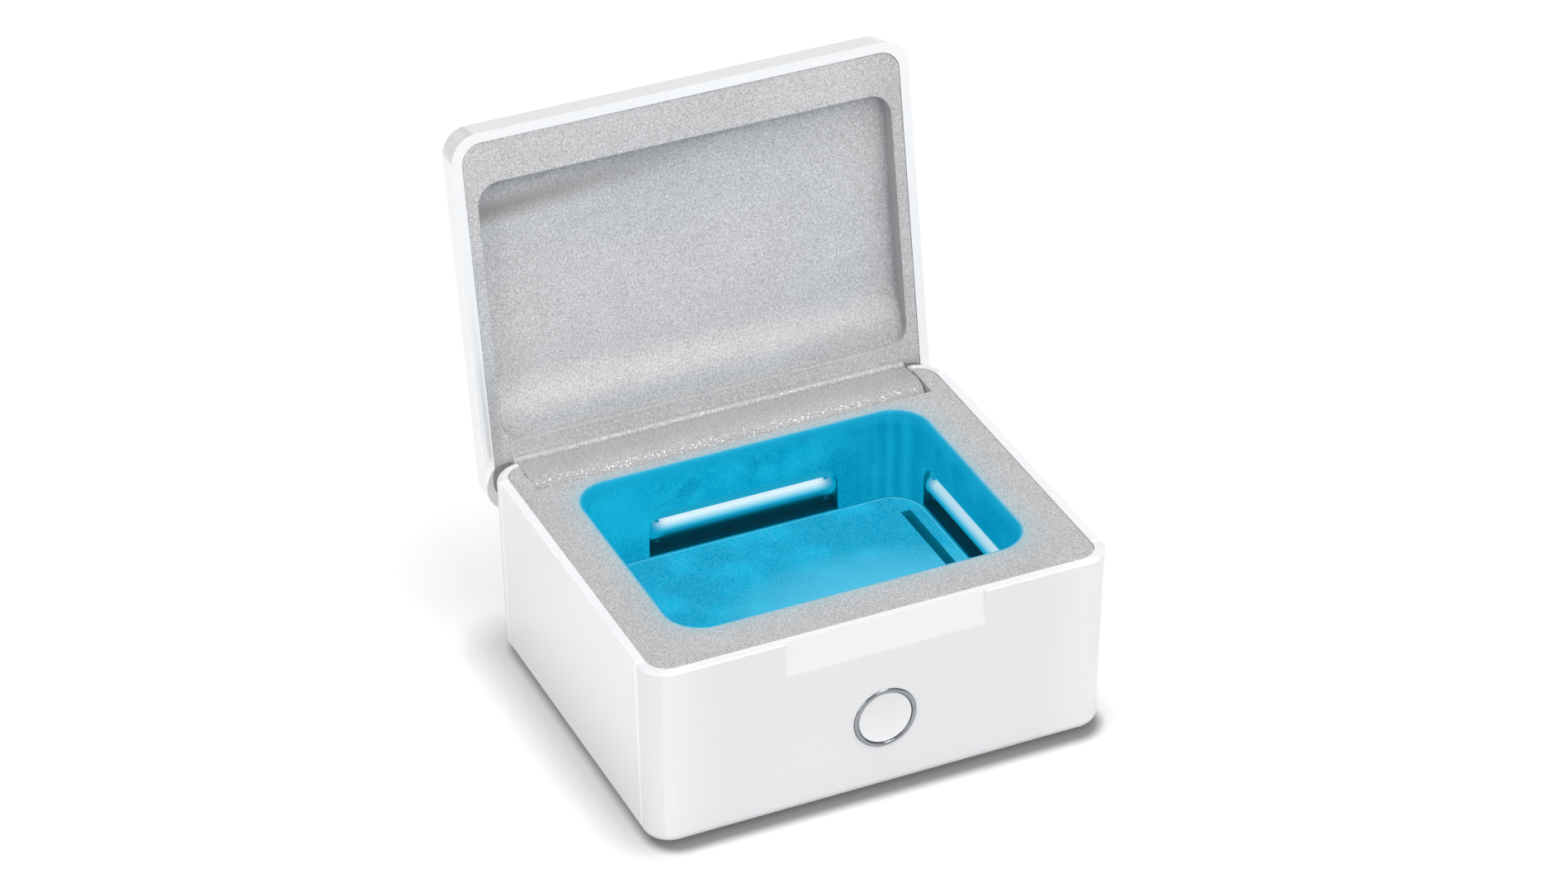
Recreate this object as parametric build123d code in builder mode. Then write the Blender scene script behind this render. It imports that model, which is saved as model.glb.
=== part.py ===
from build123d import *
import math
import os

os.makedirs("parts", exist_ok=True)

# Hearing aid dryer: a small lidded box, lid leaning back on its stop.
# Millimetres, X to the right along the front, Y to the back, Z up.
# The origin is the middle of the foot, on the surface that the box stands on.

# ---- driving sizes ------------------------------------------------------------

# casing
case_width = 100.0
case_depth = 82.2
foot_height = 0.8
corner_radius = 5.9
wall_inset = 0.66  # how far each wall stands further in at the bottom
rim_width = 2.06
rear_rim_width = 2.35
rim_corner = 4.4
rim_edge = 0.3
rear_rim_round = 1.9
rear_round_reach = 5.9  # length of the rounded rim edge, measured from the back
bottom_round = 2.0
recess_width = 43.0
recess_height = 7.8
recess_depth = 0.85
ledge_width = 1.3
ledge_thick = 1.5

# deck and drying chamber
deck_drop = 0.3
deck_gap = 0.1
deck_thick = 2.0
chamber_depth = 20.9  # from the deck down to the floor plate
chamber_side_margin = 12.2  # from the casing's side to the chamber
chamber_corner = 7.2
chamber_wall = 1.5
block_gap = 0.35  # between the chamber's rear wall and the hinge block
lip_radius = 0.8
floor_thick = 1.6
floor_ledge = 1.8
floor_ledge_thick = 1.2
service_gap = 0.6  # above the tallest piece that stands under the chamber
air_slot_width = 2.4
air_slot_margin = 2.4
air_slot_end = 6.4  # from the slot's end to the chamber's wall

# ultraviolet lamps and their windows
window_corner = 4.0
lamp_radius = 2.2
lamp_length = 41.4
lamp_drop = 4.9  # tube centre below the top of the window
lamp_setback = 0.05  # tube behind the chamber wall's face
lamp_gap = 0.05
trough_head = 2.3  # from the tube's centre up to the trough's roof
trough_depth = 3.4
trough_wall = 0.8
trough_gap = 0.2  # between the rear trough and the hinge block
holder_thick = 0.9
holder_inset = 1.3  # from the tube's end to the holder
holder_lift = 2.3  # from the trough's floor up to the holders
holder_front = 1.2  # how far a holder reaches forward into the window
end_cap_radius = 1.6
end_cap_length = 0.4
end_cap_gap = 0.1

# lid and hinge
lid_angle = 99.8
lid_height = 7.7
lid_inset = 0.7
lid_rim_width = 2.09
lid_top_thick = 2.0
lid_top_round = 0.6
lid_gap = 0.1
hinge_inset = 5.35
hinge_drop = 5.83
barrel_end_gap = 0.25
hinge_trough_gap = 1.15
hinge_trough_wall = 1.2
stop_gap = 0.1
pin_radius = 1.5
pin_reach = 5.7  # how far each pin goes into the barrel
pin_bearing = 2.3  # and into the cheek beside it
pin_running = 0.05
pin_press = 0.02
cheek_clearance = 0.3
web_fillet = 1.0
rear_web_step = 2.2  # the web's back stands in by this beside the lid's rear wall
relief_gap = 0.45
relief_stations = ((4.0, 0.1), (2.1, 0.55), (0.8, 1.5))  # in from the side, less radius
relief_side = 0.4  # the relief ends this far outside the lid's side
relief_side_drop = 0.25  # and this far inside the lid's rim
relief_overlap = 0.1
relief_wall = 1.2
hollow_end = 9.85  # from the barrel's end to the hollow in its web
hollow_width = 6.0
hollow_drop = 3.2
liner_gap = 0.1
border_drop = 0.2
border_thick = 1.6
pocket_side_margin = 4.6
pocket_rear_margin = 15.1
pocket_corner = 4.8
pocket_slope = 11.1  # from the pocket's lower end to where its back starts to rise
pocket_shelf = 4.4  # and to where it flattens out again
pocket_shelf_depth = 1.4
pocket_rear_depth = 1.1
pocket_bend = 14.0
pocket_wall = 1.3
pocket_back_gap = 0.4  # behind the pocket, to the lid's top
pocket_magnet_gap = 0.15

# button and switch
button_z = 17.7
button_radius = 5.78
button_gap = 0.07
button_proud = 0.25
button_travel = 0.8
button_edge = 0.4
dish_depth = 0.7
bezel_width = 0.9
bezel_sleeve_wall = 0.4
bezel_sleeve = 2.6
bezel_lip = 0.65
bezel_sink = 0.25
bezel_gap = 0.05
flange_overlap = 1.05
flange_thick = 0.85
flange_gap = 0.05
stem_radius = 1.6
stem_length = 0.26
switch_board_width = 24.0
switch_board_height = 13.0
switch_board_thick = 1.2
switch_board_corner = 1.0
switch_hole_x = 9.0
switch_hole_rise = 2.2  # above the chamber liner's lower edge
spacer_radius = 1.8
spacer_length = 1.0
switch_size = 6.2
switch_height = 3.5
switch_corner = 0.4
plunger_radius = 1.7
plunger_gap = 0.05
plunger_end_gap = 0.2
plunger_out = 0.9
plunger_in = 0.7

# bottom cover, foot and case screws
cover_thick = 2.0
cover_margin = 2.75
cover_gap = 0.15
cover_corner_ease = 0.6
post_radius = 2.9
post_gap = 0.49  # between a post and the ring that the cover bears on
screw_radius = 1.05
screw_head_radius = 2.05
screw_head_height = 1.1
screw_sink = 1.2
screw_depth = 7.0
screw_gap = 0.05
head_gap = 0.15
foot_side_margin = 11.0
foot_end_margin = 11.1
foot_band = 5.0
foot_corner = 8.0
foot_key = 0.6
foot_key_width = 2.0
foot_gap = 0.05
grille_slot = 1.9
grille_pitch = 3.4
grille_rows = 7
grille_margin = 1.5  # inside the fan's bore

# circuit board and power inlet
board_side_gap = 0.6  # from the case posts to the board
board_end_gap = 0.39  # from the ring that the cover bears on
board_width = 36.4
board_depth = 60.0
board_thick = 1.6
board_corner = 1.5
board_hole_inset = 3.4
standoff_height = 3.6
standoff_radius = 2.3
board_screw_length = 4.2
board_part_corner = 0.4
board_part_sizes = (  # place on the board, then width, depth and height
    (-8.0, -14.0, 13.0, 11.0, 7.2),
    (7.0, -4.0, 7.0, 7.0, 1.2),
    (-6.0, 4.0, 5.0, 6.0, 1.6),
    (-11.0, 13.0, 6.0, 9.0, 4.6),
    (7.0, -17.0, 9.0, 5.0, 4.6),
)
capacitor_places = ((12.0, -10.0), (-2.0, 13.0))
capacitor_radius = 2.5
capacitor_height = 7.0
capacitor_edge = 0.4
jack_width = 9.0
jack_height = 9.0
jack_length = 13.0
jack_nose_radius = 4.0
jack_nose_gap = 0.15
jack_recess = 0.2
jack_wall_gap = 0.25
jack_screw_gap = 0.45
jack_bore_radius = 2.95
jack_bore_depth = 9.5
jack_pin_radius = 1.0
jack_pin_setback = 1.0
jack_edge = 0.5

# fan and heater
fan_board_gap = 4.5
fan_size = 30.0
fan_height = 7.0
fan_corner = 2.5
fan_rim = 1.0
fan_hole_inset = 3.0
fan_standoff = 1.6
fan_screw_radius = 1.0
fan_screw_head = 1.5
fan_screw_head_height = 1.0
motor_radius = 7.3
motor_base_thick = 1.2
strut_width = 1.6
strut_count = 3
hub_radius = 7.0
hub_height = 4.6
hub_lift = 0.3
hub_wall = 0.8
coil_radius = 5.2
coil_height = 2.6
blade_count = 7
blade_thick = 0.8
blade_chord = 5.4
blade_root_turn = 48.0
blade_tip_turn = 34.0
blade_tip_gap = 0.7
shaft_radius = 0.8
shaft_gap = 0.05
flange_plate = 1.0
duct_wall = 1.2
duct_height = 4.4
duct_screw_gap = 0.7
duct_end_gap = 0.4
heater_height = 3.2
heater_gap = 0.1
heater_ledge = 0.8
heater_bar_width = 2.6
heater_bar_y = 4.9
fin_thick = 0.4
fin_count = 9

# magnets that hold the lid shut
magnet_radius = 2.5
magnet_thick = 2.0
magnet_side_margin = 20.0
magnet_ledge_gap = 0.09
magnet_ring_wall = 1.0
magnet_gap = 0.05

# ---- heights and places that follow from them ------------------------------------

# the pieces stand on each other, from the foot up to the rim
case_bottom = foot_height
cover_top = case_bottom + cover_thick
fan_base = cover_top + fan_standoff
fan_top = fan_base + fan_height
heater_base = fan_top + flange_plate
duct_top = heater_base + duct_height
board_base = cover_top + standoff_height
board_top = board_base + board_thick
jack_z = board_top + jack_height / 2
board_reach = max(jack_height, capacitor_height, *[sizes[-1] for sizes in board_part_sizes])
liner_base = max(duct_top, board_top + board_reach) + service_gap
floor_z = liner_base + floor_ledge_thick + floor_thick
deck_z = floor_z + chamber_depth
deck_under = deck_z - deck_thick
rim_z = deck_z + deck_drop
case_height = rim_z - case_bottom
wall_slope = wall_inset / case_height


def inset_at(height):
    """How far the wall stands in at this height, against the rim."""
    return wall_slope * (rim_z - height)


# casing, hinge and lid
case_front = -case_depth / 2
case_rear = case_depth / 2
rim_inner_width = case_width - 2 * rim_width
rim_inner_depth = case_depth - rim_width - rear_rim_width
rim_inner_y = (rim_width - rear_rim_width) / 2
deck_width = rim_inner_width - 2 * deck_gap
deck_depth = rim_inner_depth - 2 * deck_gap
deck_corner = rim_corner - deck_gap
hinge_y = case_rear - hinge_inset
hinge_z = rim_z - hinge_drop
hinge_axis = Axis((0, hinge_y, hinge_z), (1, 0, 0))
barrel_radius = hinge_inset
notch_half = case_width / 2 - corner_radius
barrel_half = notch_half - barrel_end_gap
hinge_trough_radius = barrel_radius + hinge_trough_gap
hinge_block_radius = hinge_trough_radius + hinge_trough_wall
block_front = hinge_y - hinge_block_radius
block_rear = rim_inner_y + rim_inner_depth / 2 - cheek_clearance
relief_middle = math.hypot(hinge_inset, hinge_drop) + relief_gap

# button, ring and switch, one behind the other as far as the chamber
wall_front_at_button = case_front + inset_at(button_z)
bezel_inner = button_radius + button_gap
bezel_radius = bezel_inner + bezel_width
bezel_seat = wall_front_at_button + bezel_sink
bezel_back = bezel_seat + bezel_sleeve
cap_front = wall_front_at_button - button_proud
flange_radius = bezel_inner + flange_overlap
flange_front = bezel_back + flange_gap
flange_back = flange_front + flange_thick
stem_end = flange_back + stem_length
switch_front = stem_end + plunger_out
switch_board_front = switch_front + switch_height
switch_board_back = switch_board_front + switch_board_thick
switch_hole_z = liner_base + switch_hole_rise
switch_board_holes = [(x, switch_hole_z) for x in (-switch_hole_x, switch_hole_x)]

# chamber, and the lamps behind its walls
chamber_front = switch_board_back + spacer_length + chamber_wall
chamber_rear = block_front - block_gap - chamber_wall
chamber_length = chamber_rear - chamber_front
chamber_y = (chamber_rear + chamber_front) / 2
chamber_side = case_width / 2 - chamber_side_margin
chamber_width = 2 * chamber_side
lamp_depth = lamp_radius + lamp_setback
trough_back = chamber_rear + chamber_wall + trough_depth + trough_wall
block_over_trough = math.sqrt(hinge_block_radius**2 - (hinge_y - trough_back) ** 2)
trough_roof = hinge_z - block_over_trough - trough_gap - trough_wall
trough_height = trough_roof - floor_z
lamp_z = trough_roof - trough_head
window_height = lamp_z + lamp_drop - floor_z
window_length = lamp_length + 2 * (end_cap_length + end_cap_gap)

# bottom cover, posts, board and inlet
cover_width = case_width - 2 * wall_inset - 2 * cover_margin
cover_depth = case_depth - 2 * wall_inset - 2 * cover_margin
cover_corner = corner_radius - cover_margin + cover_corner_ease
post_x = cover_width / 2 - ledge_width - post_gap - post_radius
post_y = cover_depth / 2 - ledge_width - post_gap - post_radius
post_places = [(x, y) for x in (-post_x, post_x) for y in (-post_y, post_y)]
foot_width = case_width - 2 * foot_side_margin
foot_depth = case_depth - 2 * foot_end_margin
board_x = post_x - post_radius - board_side_gap - board_width / 2
board_y = cover_depth / 2 - ledge_width - board_end_gap - board_depth / 2
board_hole_x = board_width / 2 - board_hole_inset
board_hole_y = board_depth / 2 - board_hole_inset
board_holes = [
    (board_x + side * board_hole_x, board_y + end * board_hole_y)
    for side in (-1, 1)
    for end in (-1, 1)
]
jack_x = board_x + board_hole_x - screw_head_radius - jack_screw_gap - jack_width / 2
jack_face = case_rear - inset_at(jack_z) - jack_recess
jack_nose_length = rear_rim_width - jack_recess + jack_wall_gap

# fan and heater, beside the board and under the chamber
fan_x = board_x - board_width / 2 - fan_board_gap - fan_size / 2
fan_y = chamber_y
fan_bore_radius = fan_size / 2 - fan_rim
fan_hole = fan_size / 2 - fan_hole_inset
fan_holes = [(fan_x + i * fan_hole, fan_y + j * fan_hole) for i in (-1, 1) for j in (-1, 1)]
grille_radius = fan_bore_radius - grille_margin
heater_side = fan_hole - fan_screw_head - duct_screw_gap - duct_wall - heater_gap
heater_width = 2 * heater_side
heater_length = fan_size - 2 * (duct_end_gap + duct_wall + heater_gap)

# magnets
magnet_ring_radius = magnet_radius + magnet_gap + magnet_ring_wall
magnet_inset = rim_width + ledge_width + magnet_ledge_gap + magnet_ring_radius
magnet_x = case_width / 2 - magnet_side_margin
magnet_y = case_front + magnet_inset
magnet_places = [(-magnet_x, magnet_y), (magnet_x, magnet_y)]

# each lamp's plane: along the lamp, up from the floor plate, and away from the chamber
rear_lamp_plane = Plane(
    origin=(0, chamber_rear + chamber_wall, floor_z), x_dir=(-1, 0, 0), z_dir=(0, 1, 0)
)
side_lamp_plane = Plane(
    origin=(chamber_side + chamber_wall, chamber_y, floor_z), x_dir=(0, 1, 0), z_dir=(1, 0, 0)
)

# the lid's own planes: its base plane through the hinge, and its side plane
open_turn = math.radians(lid_angle)
lid_plane = Plane(
    origin=(0, hinge_y, hinge_z),
    x_dir=(1, 0, 0),
    z_dir=(0, math.sin(open_turn), math.cos(open_turn)),
)
lid_side = Plane(origin=lid_plane.origin, x_dir=lid_plane.y_dir, z_dir=lid_plane.x_dir)
lid_up = Axis(lid_plane.origin, lid_plane.z_dir)
lid_rim = hinge_drop + lid_gap
lid_middle = -hinge_y
border_face = lid_rim + border_drop
border_back = border_face + border_thick
lid_inner_width = case_width - 2 * lid_rim_width
lid_inner_depth = case_depth - 2 * lid_rim_width
relief_wall_width = lid_inner_width / 2 - liner_gap - barrel_half
relief_wall_x = barrel_half + relief_wall_width / 2
relief_wall_back = lid_middle + lid_inner_depth / 2 - liner_gap
relief_wall_front = -relief_middle - relief_wall
relief_wall_depth = relief_wall_back - relief_wall_front
relief_wall_y = (relief_wall_back + relief_wall_front) / 2
pocket_front = magnet_inset + magnet_radius + magnet_gap + pocket_magnet_gap + pocket_wall
pocket_depth = lid_height - lid_top_thick - border_drop - pocket_wall - pocket_back_gap
pocket_width = case_width - 2 * pocket_side_margin
pocket_start = lid_middle - case_depth / 2 + pocket_front
pocket_end = lid_middle + case_depth / 2 - pocket_rear_margin
pocket_length = pocket_end - pocket_start

# plane across the hinge that holds the axis, for turned profiles
hinge_plane = Plane(origin=(0, hinge_y, hinge_z), x_dir=(1, 0, 0), z_dir=(0, -1, 0))


def casing_block(top_round):
    """Full casing block with its drawn-in walls and rounded bottom edge."""
    with BuildPart() as block:
        with BuildSketch(Plane.XY.offset(rim_z)):
            RectangleRounded(case_width, case_depth, corner_radius)
        with BuildSketch(Plane.XY.offset(case_bottom)):
            RectangleRounded(
                case_width - 2 * wall_inset,
                case_depth - 2 * wall_inset,
                corner_radius - wall_inset / 2,
            )
        loft()
        fillet(block.faces().sort_by(Axis.Z)[0].edges(), bottom_round)
        fillet(block.faces().sort_by(Axis.Z)[-1].edges(), top_round)
    return block.part


def hinge_cut(gap):
    """What the open lid's barrel and back sweep out of the base, with a gap."""
    with BuildPart() as cut:
        with BuildSketch(hinge_plane):
            with Locations((0, hinge_trough_radius / 2)):
                Rectangle(2 * notch_half, hinge_trough_radius)
        revolve(axis=hinge_axis, revolution_arc=360)
        with BuildSketch(Plane.XY.offset(hinge_z)):
            with Locations((0, hinge_y + case_rear / 2)):
                Rectangle(2 * notch_half, case_rear + 2 * hinge_trough_radius)
        extrude(amount=case_height)
        with BuildSketch(lid_side):
            with Locations(((barrel_radius + gap) / 2, barrel_radius)):
                Rectangle(barrel_radius + gap, 2 * barrel_radius)
        extrude(amount=notch_half, both=True)
    return cut.part


def pan_screw(length, radius, head_radius, head_height, crossed):
    """A screw that points up from its head's outer face."""
    with BuildPart() as screw:
        Cylinder(head_radius, head_height, align=(Align.CENTER, Align.CENTER, Align.MIN))
        chamfer(screw.edges().sort_by(Axis.Z)[0], head_height * 0.25)
        Cylinder(radius, head_height + length, align=(Align.CENTER, Align.CENTER, Align.MIN))
        chamfer(screw.edges().sort_by(Axis.Z)[-1], radius * 0.5)
        if crossed:
            with BuildSketch():
                Rectangle(head_radius * 1.1, head_radius * 0.25)
                Rectangle(head_radius * 0.25, head_radius * 1.1)
            extrude(amount=head_height * 0.5, mode=Mode.SUBTRACT)
    return screw.part


def window_cut(plane):
    """A lamp window through the chamber wall, with rounded upper corners."""
    with BuildPart() as cut:
        with BuildSketch(plane) as outline:
            Rectangle(window_length, window_height, align=(Align.CENTER, Align.MIN))
            fillet(outline.vertices().group_by(Axis.Y)[-1], window_corner)
        extrude(amount=-2 * chamber_wall)
    return cut.part


def lamp_trough(plane):
    """Dark trough behind a window, open towards the chamber."""
    with BuildPart() as trough:
        with BuildSketch(plane):
            with Locations((0, -trough_wall)):
                Rectangle(
                    window_length + 2 * trough_wall,
                    trough_height + 2 * trough_wall,
                    align=(Align.CENTER, Align.MIN),
                )
        extrude(amount=trough_depth + trough_wall)
        with BuildSketch(plane):
            Rectangle(window_length, trough_height, align=(Align.CENTER, Align.MIN))
        extrude(amount=trough_depth, mode=Mode.SUBTRACT)
    return trough.part


def lamp_line(plane):
    """Plane across the lamp, its middle on the tube's centre line."""
    centre = plane.from_local_coords((0, lamp_z - floor_z, lamp_depth - chamber_wall))
    return Plane(origin=centre, x_dir=plane.y_dir, z_dir=plane.x_dir)


def lamp_tube(plane):
    """Glass tube."""
    with BuildPart() as tube:
        with BuildSketch(lamp_line(plane)):
            Circle(lamp_radius)
        extrude(amount=lamp_length / 2, both=True)
        chamfer(tube.edges().filter_by(GeomType.CIRCLE), lamp_radius * 0.25)
    return tube.part


def lamp_end_caps(plane):
    """Metal caps on both ends of a tube."""
    line = lamp_line(plane)
    with BuildPart() as caps:
        for end in (-1, 1):
            with BuildSketch(line.offset(end * lamp_length / 2)):
                Circle(end_cap_radius)
            extrude(amount=end * end_cap_length)
    return caps.part


def lamp_holders(plane):
    """Two upright holders that reach from the trough's back round the tube."""
    line = lamp_line(plane)
    centre_depth = lamp_depth - chamber_wall
    holder_x = lamp_length / 2 - holder_inset
    holder_below = lamp_z - floor_z - holder_lift
    with BuildPart() as holders:
        for end in (-1, 1):
            with BuildSketch(line.offset(end * holder_x)):
                with Locations((-holder_below, -holder_front)):
                    Rectangle(
                        holder_below + trough_head,
                        holder_front + trough_depth - centre_depth,
                        align=(Align.MIN, Align.MIN),
                    )
                Circle(lamp_radius + lamp_gap, mode=Mode.SUBTRACT)
            extrude(amount=-end * holder_thick)
    return holders.part


# ---- base: casing ----------------------------------------------------------------

with BuildPart() as base_rear:
    add(casing_block(rear_rim_round))
    split(bisect_by=Plane.XZ.offset(rear_round_reach - case_rear), keep=Keep.BOTTOM)

with BuildPart() as base_shell:
    add(casing_block(rim_edge))
    split(bisect_by=Plane.XZ.offset(rear_round_reach - case_rear), keep=Keep.TOP)
    add(base_rear.part)
    # inside, down to the ring that the bottom cover bears on
    with BuildSketch(Plane.XY.offset(rim_z)):
        with Locations((0, rim_inner_y)):
            RectangleRounded(rim_inner_width, rim_inner_depth, rim_corner)
    with BuildSketch(Plane.XY.offset(cover_top + ledge_thick)):
        low_inset = 2 * inset_at(cover_top + ledge_thick)
        with Locations((0, rim_inner_y)):
            RectangleRounded(
                rim_inner_width - low_inset, rim_inner_depth - low_inset, rim_corner
            )
    loft(mode=Mode.SUBTRACT)
    with BuildSketch(Plane.XY.offset(case_bottom)):
        RectangleRounded(cover_width, cover_depth, cover_corner)
    extrude(amount=cover_thick, mode=Mode.SUBTRACT)
    with BuildSketch(Plane.XY.offset(cover_top)):
        RectangleRounded(
            cover_width - 2 * ledge_width, cover_depth - 2 * ledge_width, cover_corner
        )
    extrude(amount=ledge_thick, mode=Mode.SUBTRACT)
    # ledge that carries the deck, in front of the hinge
    with BuildSketch(Plane.XY.offset(deck_under - ledge_thick)):
        with Locations((0, rim_inner_y)):
            RectangleRounded(rim_inner_width + rim_width, rim_inner_depth + rim_width, rim_corner)
            RectangleRounded(
                rim_inner_width - 2 * ledge_width,
                rim_inner_depth - 2 * ledge_width,
                rim_corner - ledge_width,
                mode=Mode.SUBTRACT,
            )
        with Locations((0, block_front - cheek_clearance)):
            Rectangle(
                case_width, case_depth, align=(Align.CENTER, Align.MIN), mode=Mode.SUBTRACT
            )
    extrude(amount=ledge_thick)
    # gap in the back for the hinge, with its sloped stop face
    add(hinge_cut(stop_gap), mode=Mode.SUBTRACT)
    # finger recess: a tilted face that fades out downwards
    with BuildSketch(Plane.YZ):
        with BuildLine():
            recess_foot = case_front + inset_at(rim_z - recess_height)
            recess_top = case_front + recess_depth
            above_rim = 1.0
            recess_slope = (recess_top - recess_foot) / recess_height
            Polyline(
                (recess_foot, rim_z - recess_height),
                (recess_top + recess_slope * above_rim, rim_z + above_rim),
                (case_front - 1, rim_z + above_rim),
                (case_front - 1, rim_z - recess_height),
                close=True,
            )
        make_face()
    extrude(amount=recess_width / 2, both=True, mode=Mode.SUBTRACT)
    # button opening, stepped for the lip of its ring
    with BuildSketch(Plane.XZ.offset(-case_front)):
        with Locations((0, button_z)):
            Circle(bezel_inner + bezel_sleeve_wall + bezel_gap)
    extrude(amount=-2 * rim_width, mode=Mode.SUBTRACT)
    with BuildSketch(Plane.XZ.offset(-bezel_seat)):
        with Locations((0, button_z)):
            Circle(bezel_radius + bezel_gap)
    extrude(amount=2 * rim_width, mode=Mode.SUBTRACT)
    # hole for the power inlet
    with BuildSketch(Plane.XZ.offset(-case_rear)):
        with Locations((jack_x, jack_z)):
            Circle(jack_nose_radius + jack_nose_gap)
    extrude(amount=2 * rear_rim_width, mode=Mode.SUBTRACT)
base_shell.part.label = "base_shell"
export_step(base_shell.part, "parts/base_shell.step")

# ---- base: inner moulding with deck, chamber and hinge block -------------------------

with BuildPart() as hinge_block:
    # side profile: front wall and round bottom of the trough, up to the deck
    with BuildSketch(Plane.YZ):
        with Locations((hinge_y, hinge_z)):
            Circle(hinge_block_radius)
        with Locations((block_front, hinge_z)):
            Rectangle(
                2 * (hinge_y - block_front),
                deck_under - hinge_z + deck_thick / 2,
                align=(Align.MIN, Align.MIN),
            )
        with Locations((block_rear, hinge_z)):
            Rectangle(
                case_depth, case_depth, align=(Align.MIN, Align.CENTER), mode=Mode.SUBTRACT
            )
    extrude(amount=case_width / 2, both=True)
    with BuildSketch(Plane.XY.offset(deck_z)):
        with Locations((0, rim_inner_y)):
            RectangleRounded(
                deck_width - 2 * cheek_clearance,
                deck_depth - 2 * cheek_clearance,
                deck_corner - cheek_clearance,
            )
    extrude(amount=-case_height, mode=Mode.INTERSECT)

with BuildPart() as chamber_liner:
    # deck
    with BuildSketch(Plane.XY.offset(deck_under)):
        with Locations((0, rim_inner_y)):
            RectangleRounded(deck_width, deck_depth, deck_corner)
    extrude(amount=deck_thick)
    add(hinge_block.part)
    # chamber walls
    with BuildSketch(Plane.XY.offset(liner_base)):
        with Locations((0, chamber_y)):
            RectangleRounded(
                chamber_width + 2 * chamber_wall,
                chamber_length + 2 * chamber_wall,
                chamber_corner + chamber_wall,
            )
    extrude(amount=deck_under - liner_base)
    # posts for the case screws
    with BuildSketch(Plane.XY.offset(cover_top)):
        with Locations(*post_places):
            Circle(post_radius)
    extrude(amount=deck_under - cover_top)
    # rings for the magnets, under the front of the deck
    with BuildSketch(Plane.XY.offset(deck_under - magnet_thick)):
        with Locations(*magnet_places):
            Circle(magnet_ring_radius)
            Circle(magnet_radius + magnet_gap, mode=Mode.SUBTRACT)
    extrude(amount=magnet_thick)
    # spacers for the switch board
    with BuildSketch(Plane.XZ.offset(-switch_board_back)):
        with Locations(*switch_board_holes):
            Circle(spacer_radius)
    extrude(amount=-spacer_length)
    # chamber, with the ledge under its floor plate
    with BuildSketch(Plane.XY.offset(liner_base + floor_ledge_thick)):
        with Locations((0, chamber_y)):
            RectangleRounded(chamber_width, chamber_length, chamber_corner)
    extrude(amount=case_height, mode=Mode.SUBTRACT)
    with BuildSketch(Plane.XY.offset(liner_base)):
        with Locations((0, chamber_y)):
            RectangleRounded(
                chamber_width - 2 * floor_ledge,
                chamber_length - 2 * floor_ledge,
                chamber_corner - floor_ledge,
            )
    extrude(amount=floor_ledge_thick, mode=Mode.SUBTRACT)
    fillet(chamber_liner.faces().sort_by(Axis.Z)[-1].inner_wires()[0].edges(), lip_radius)
    # trough for the lid's barrel, and the bores for the hinge pins
    add(hinge_cut(stop_gap), mode=Mode.SUBTRACT)
    with BuildSketch(Plane.YZ):
        with Locations((hinge_y, hinge_z)):
            Circle(pin_radius + pin_press)
    extrude(amount=case_width / 2, both=True, mode=Mode.SUBTRACT)
    # lamp windows
    add(window_cut(rear_lamp_plane), mode=Mode.SUBTRACT)
    add(window_cut(side_lamp_plane), mode=Mode.SUBTRACT)
    # bores for the case screws
    with BuildSketch(Plane.XY.offset(cover_top)):
        with Locations(*post_places):
            Circle(screw_radius + screw_gap)
    extrude(amount=screw_depth, mode=Mode.SUBTRACT)
chamber_liner.part.label = "chamber_liner"
export_step(chamber_liner.part, "parts/chamber_liner.step")

with BuildPart() as floor_plate:
    with BuildSketch(Plane.XY.offset(floor_z - floor_thick)):
        with Locations((0, chamber_y)):
            RectangleRounded(
                chamber_width - 2 * liner_gap,
                chamber_length - 2 * liner_gap,
                chamber_corner - liner_gap,
            )
        slot_x = chamber_side - floor_ledge - air_slot_width / 2 - air_slot_margin / 2
        with Locations((-slot_x, chamber_y), (slot_x, chamber_y)):
            Rectangle(air_slot_width, chamber_length - 2 * air_slot_end, mode=Mode.SUBTRACT)
    extrude(amount=floor_thick)
floor_plate.part.label = "floor_plate"
export_step(floor_plate.part, "parts/floor_plate.step")

# ---- base: lamps ---------------------------------------------------------------------

for side_name, lamp_plane in (("rear", rear_lamp_plane), ("side", side_lamp_plane)):
    for piece_name, maker in (
        ("lamp_trough", lamp_trough),
        ("lamp_tube", lamp_tube),
        ("lamp_caps", lamp_end_caps),
        ("lamp_holders", lamp_holders),
    ):
        with BuildPart() as lamp_piece:
            add(maker(lamp_plane))
        lamp_piece.part.label = f"{side_name}_{piece_name}"
        export_step(lamp_piece.part, f"parts/{side_name}_{piece_name}.step")

# ---- base: button ring and switch -------------------------------------------------------

with BuildPart() as button_ring:
    with BuildSketch(Plane.XZ.offset(-bezel_seat)):
        with Locations((0, button_z)):
            Circle(bezel_radius)
            Circle(bezel_inner, mode=Mode.SUBTRACT)
    extrude(amount=bezel_lip)
    fillet(button_ring.faces().sort_by(Axis.Y)[0].edges(), (bezel_radius - bezel_inner) * 0.42)
    with BuildSketch(Plane.XZ.offset(-bezel_seat)):
        with Locations((0, button_z)):
            Circle(bezel_inner + bezel_sleeve_wall)
            Circle(bezel_inner, mode=Mode.SUBTRACT)
    extrude(amount=-bezel_sleeve)
button_ring.part.label = "button_ring"
export_step(button_ring.part, "parts/button_ring.step")

with BuildPart() as switch_board:
    with BuildSketch(Plane.XZ.offset(-switch_board_back)):
        with Locations((0, button_z)):
            RectangleRounded(switch_board_width, switch_board_height, switch_board_corner)
        with Locations(*switch_board_holes):
            Circle(screw_radius, mode=Mode.SUBTRACT)
    extrude(amount=switch_board_thick)
switch_board.part.label = "switch_board"
export_step(switch_board.part, "parts/switch_board.step")

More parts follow.
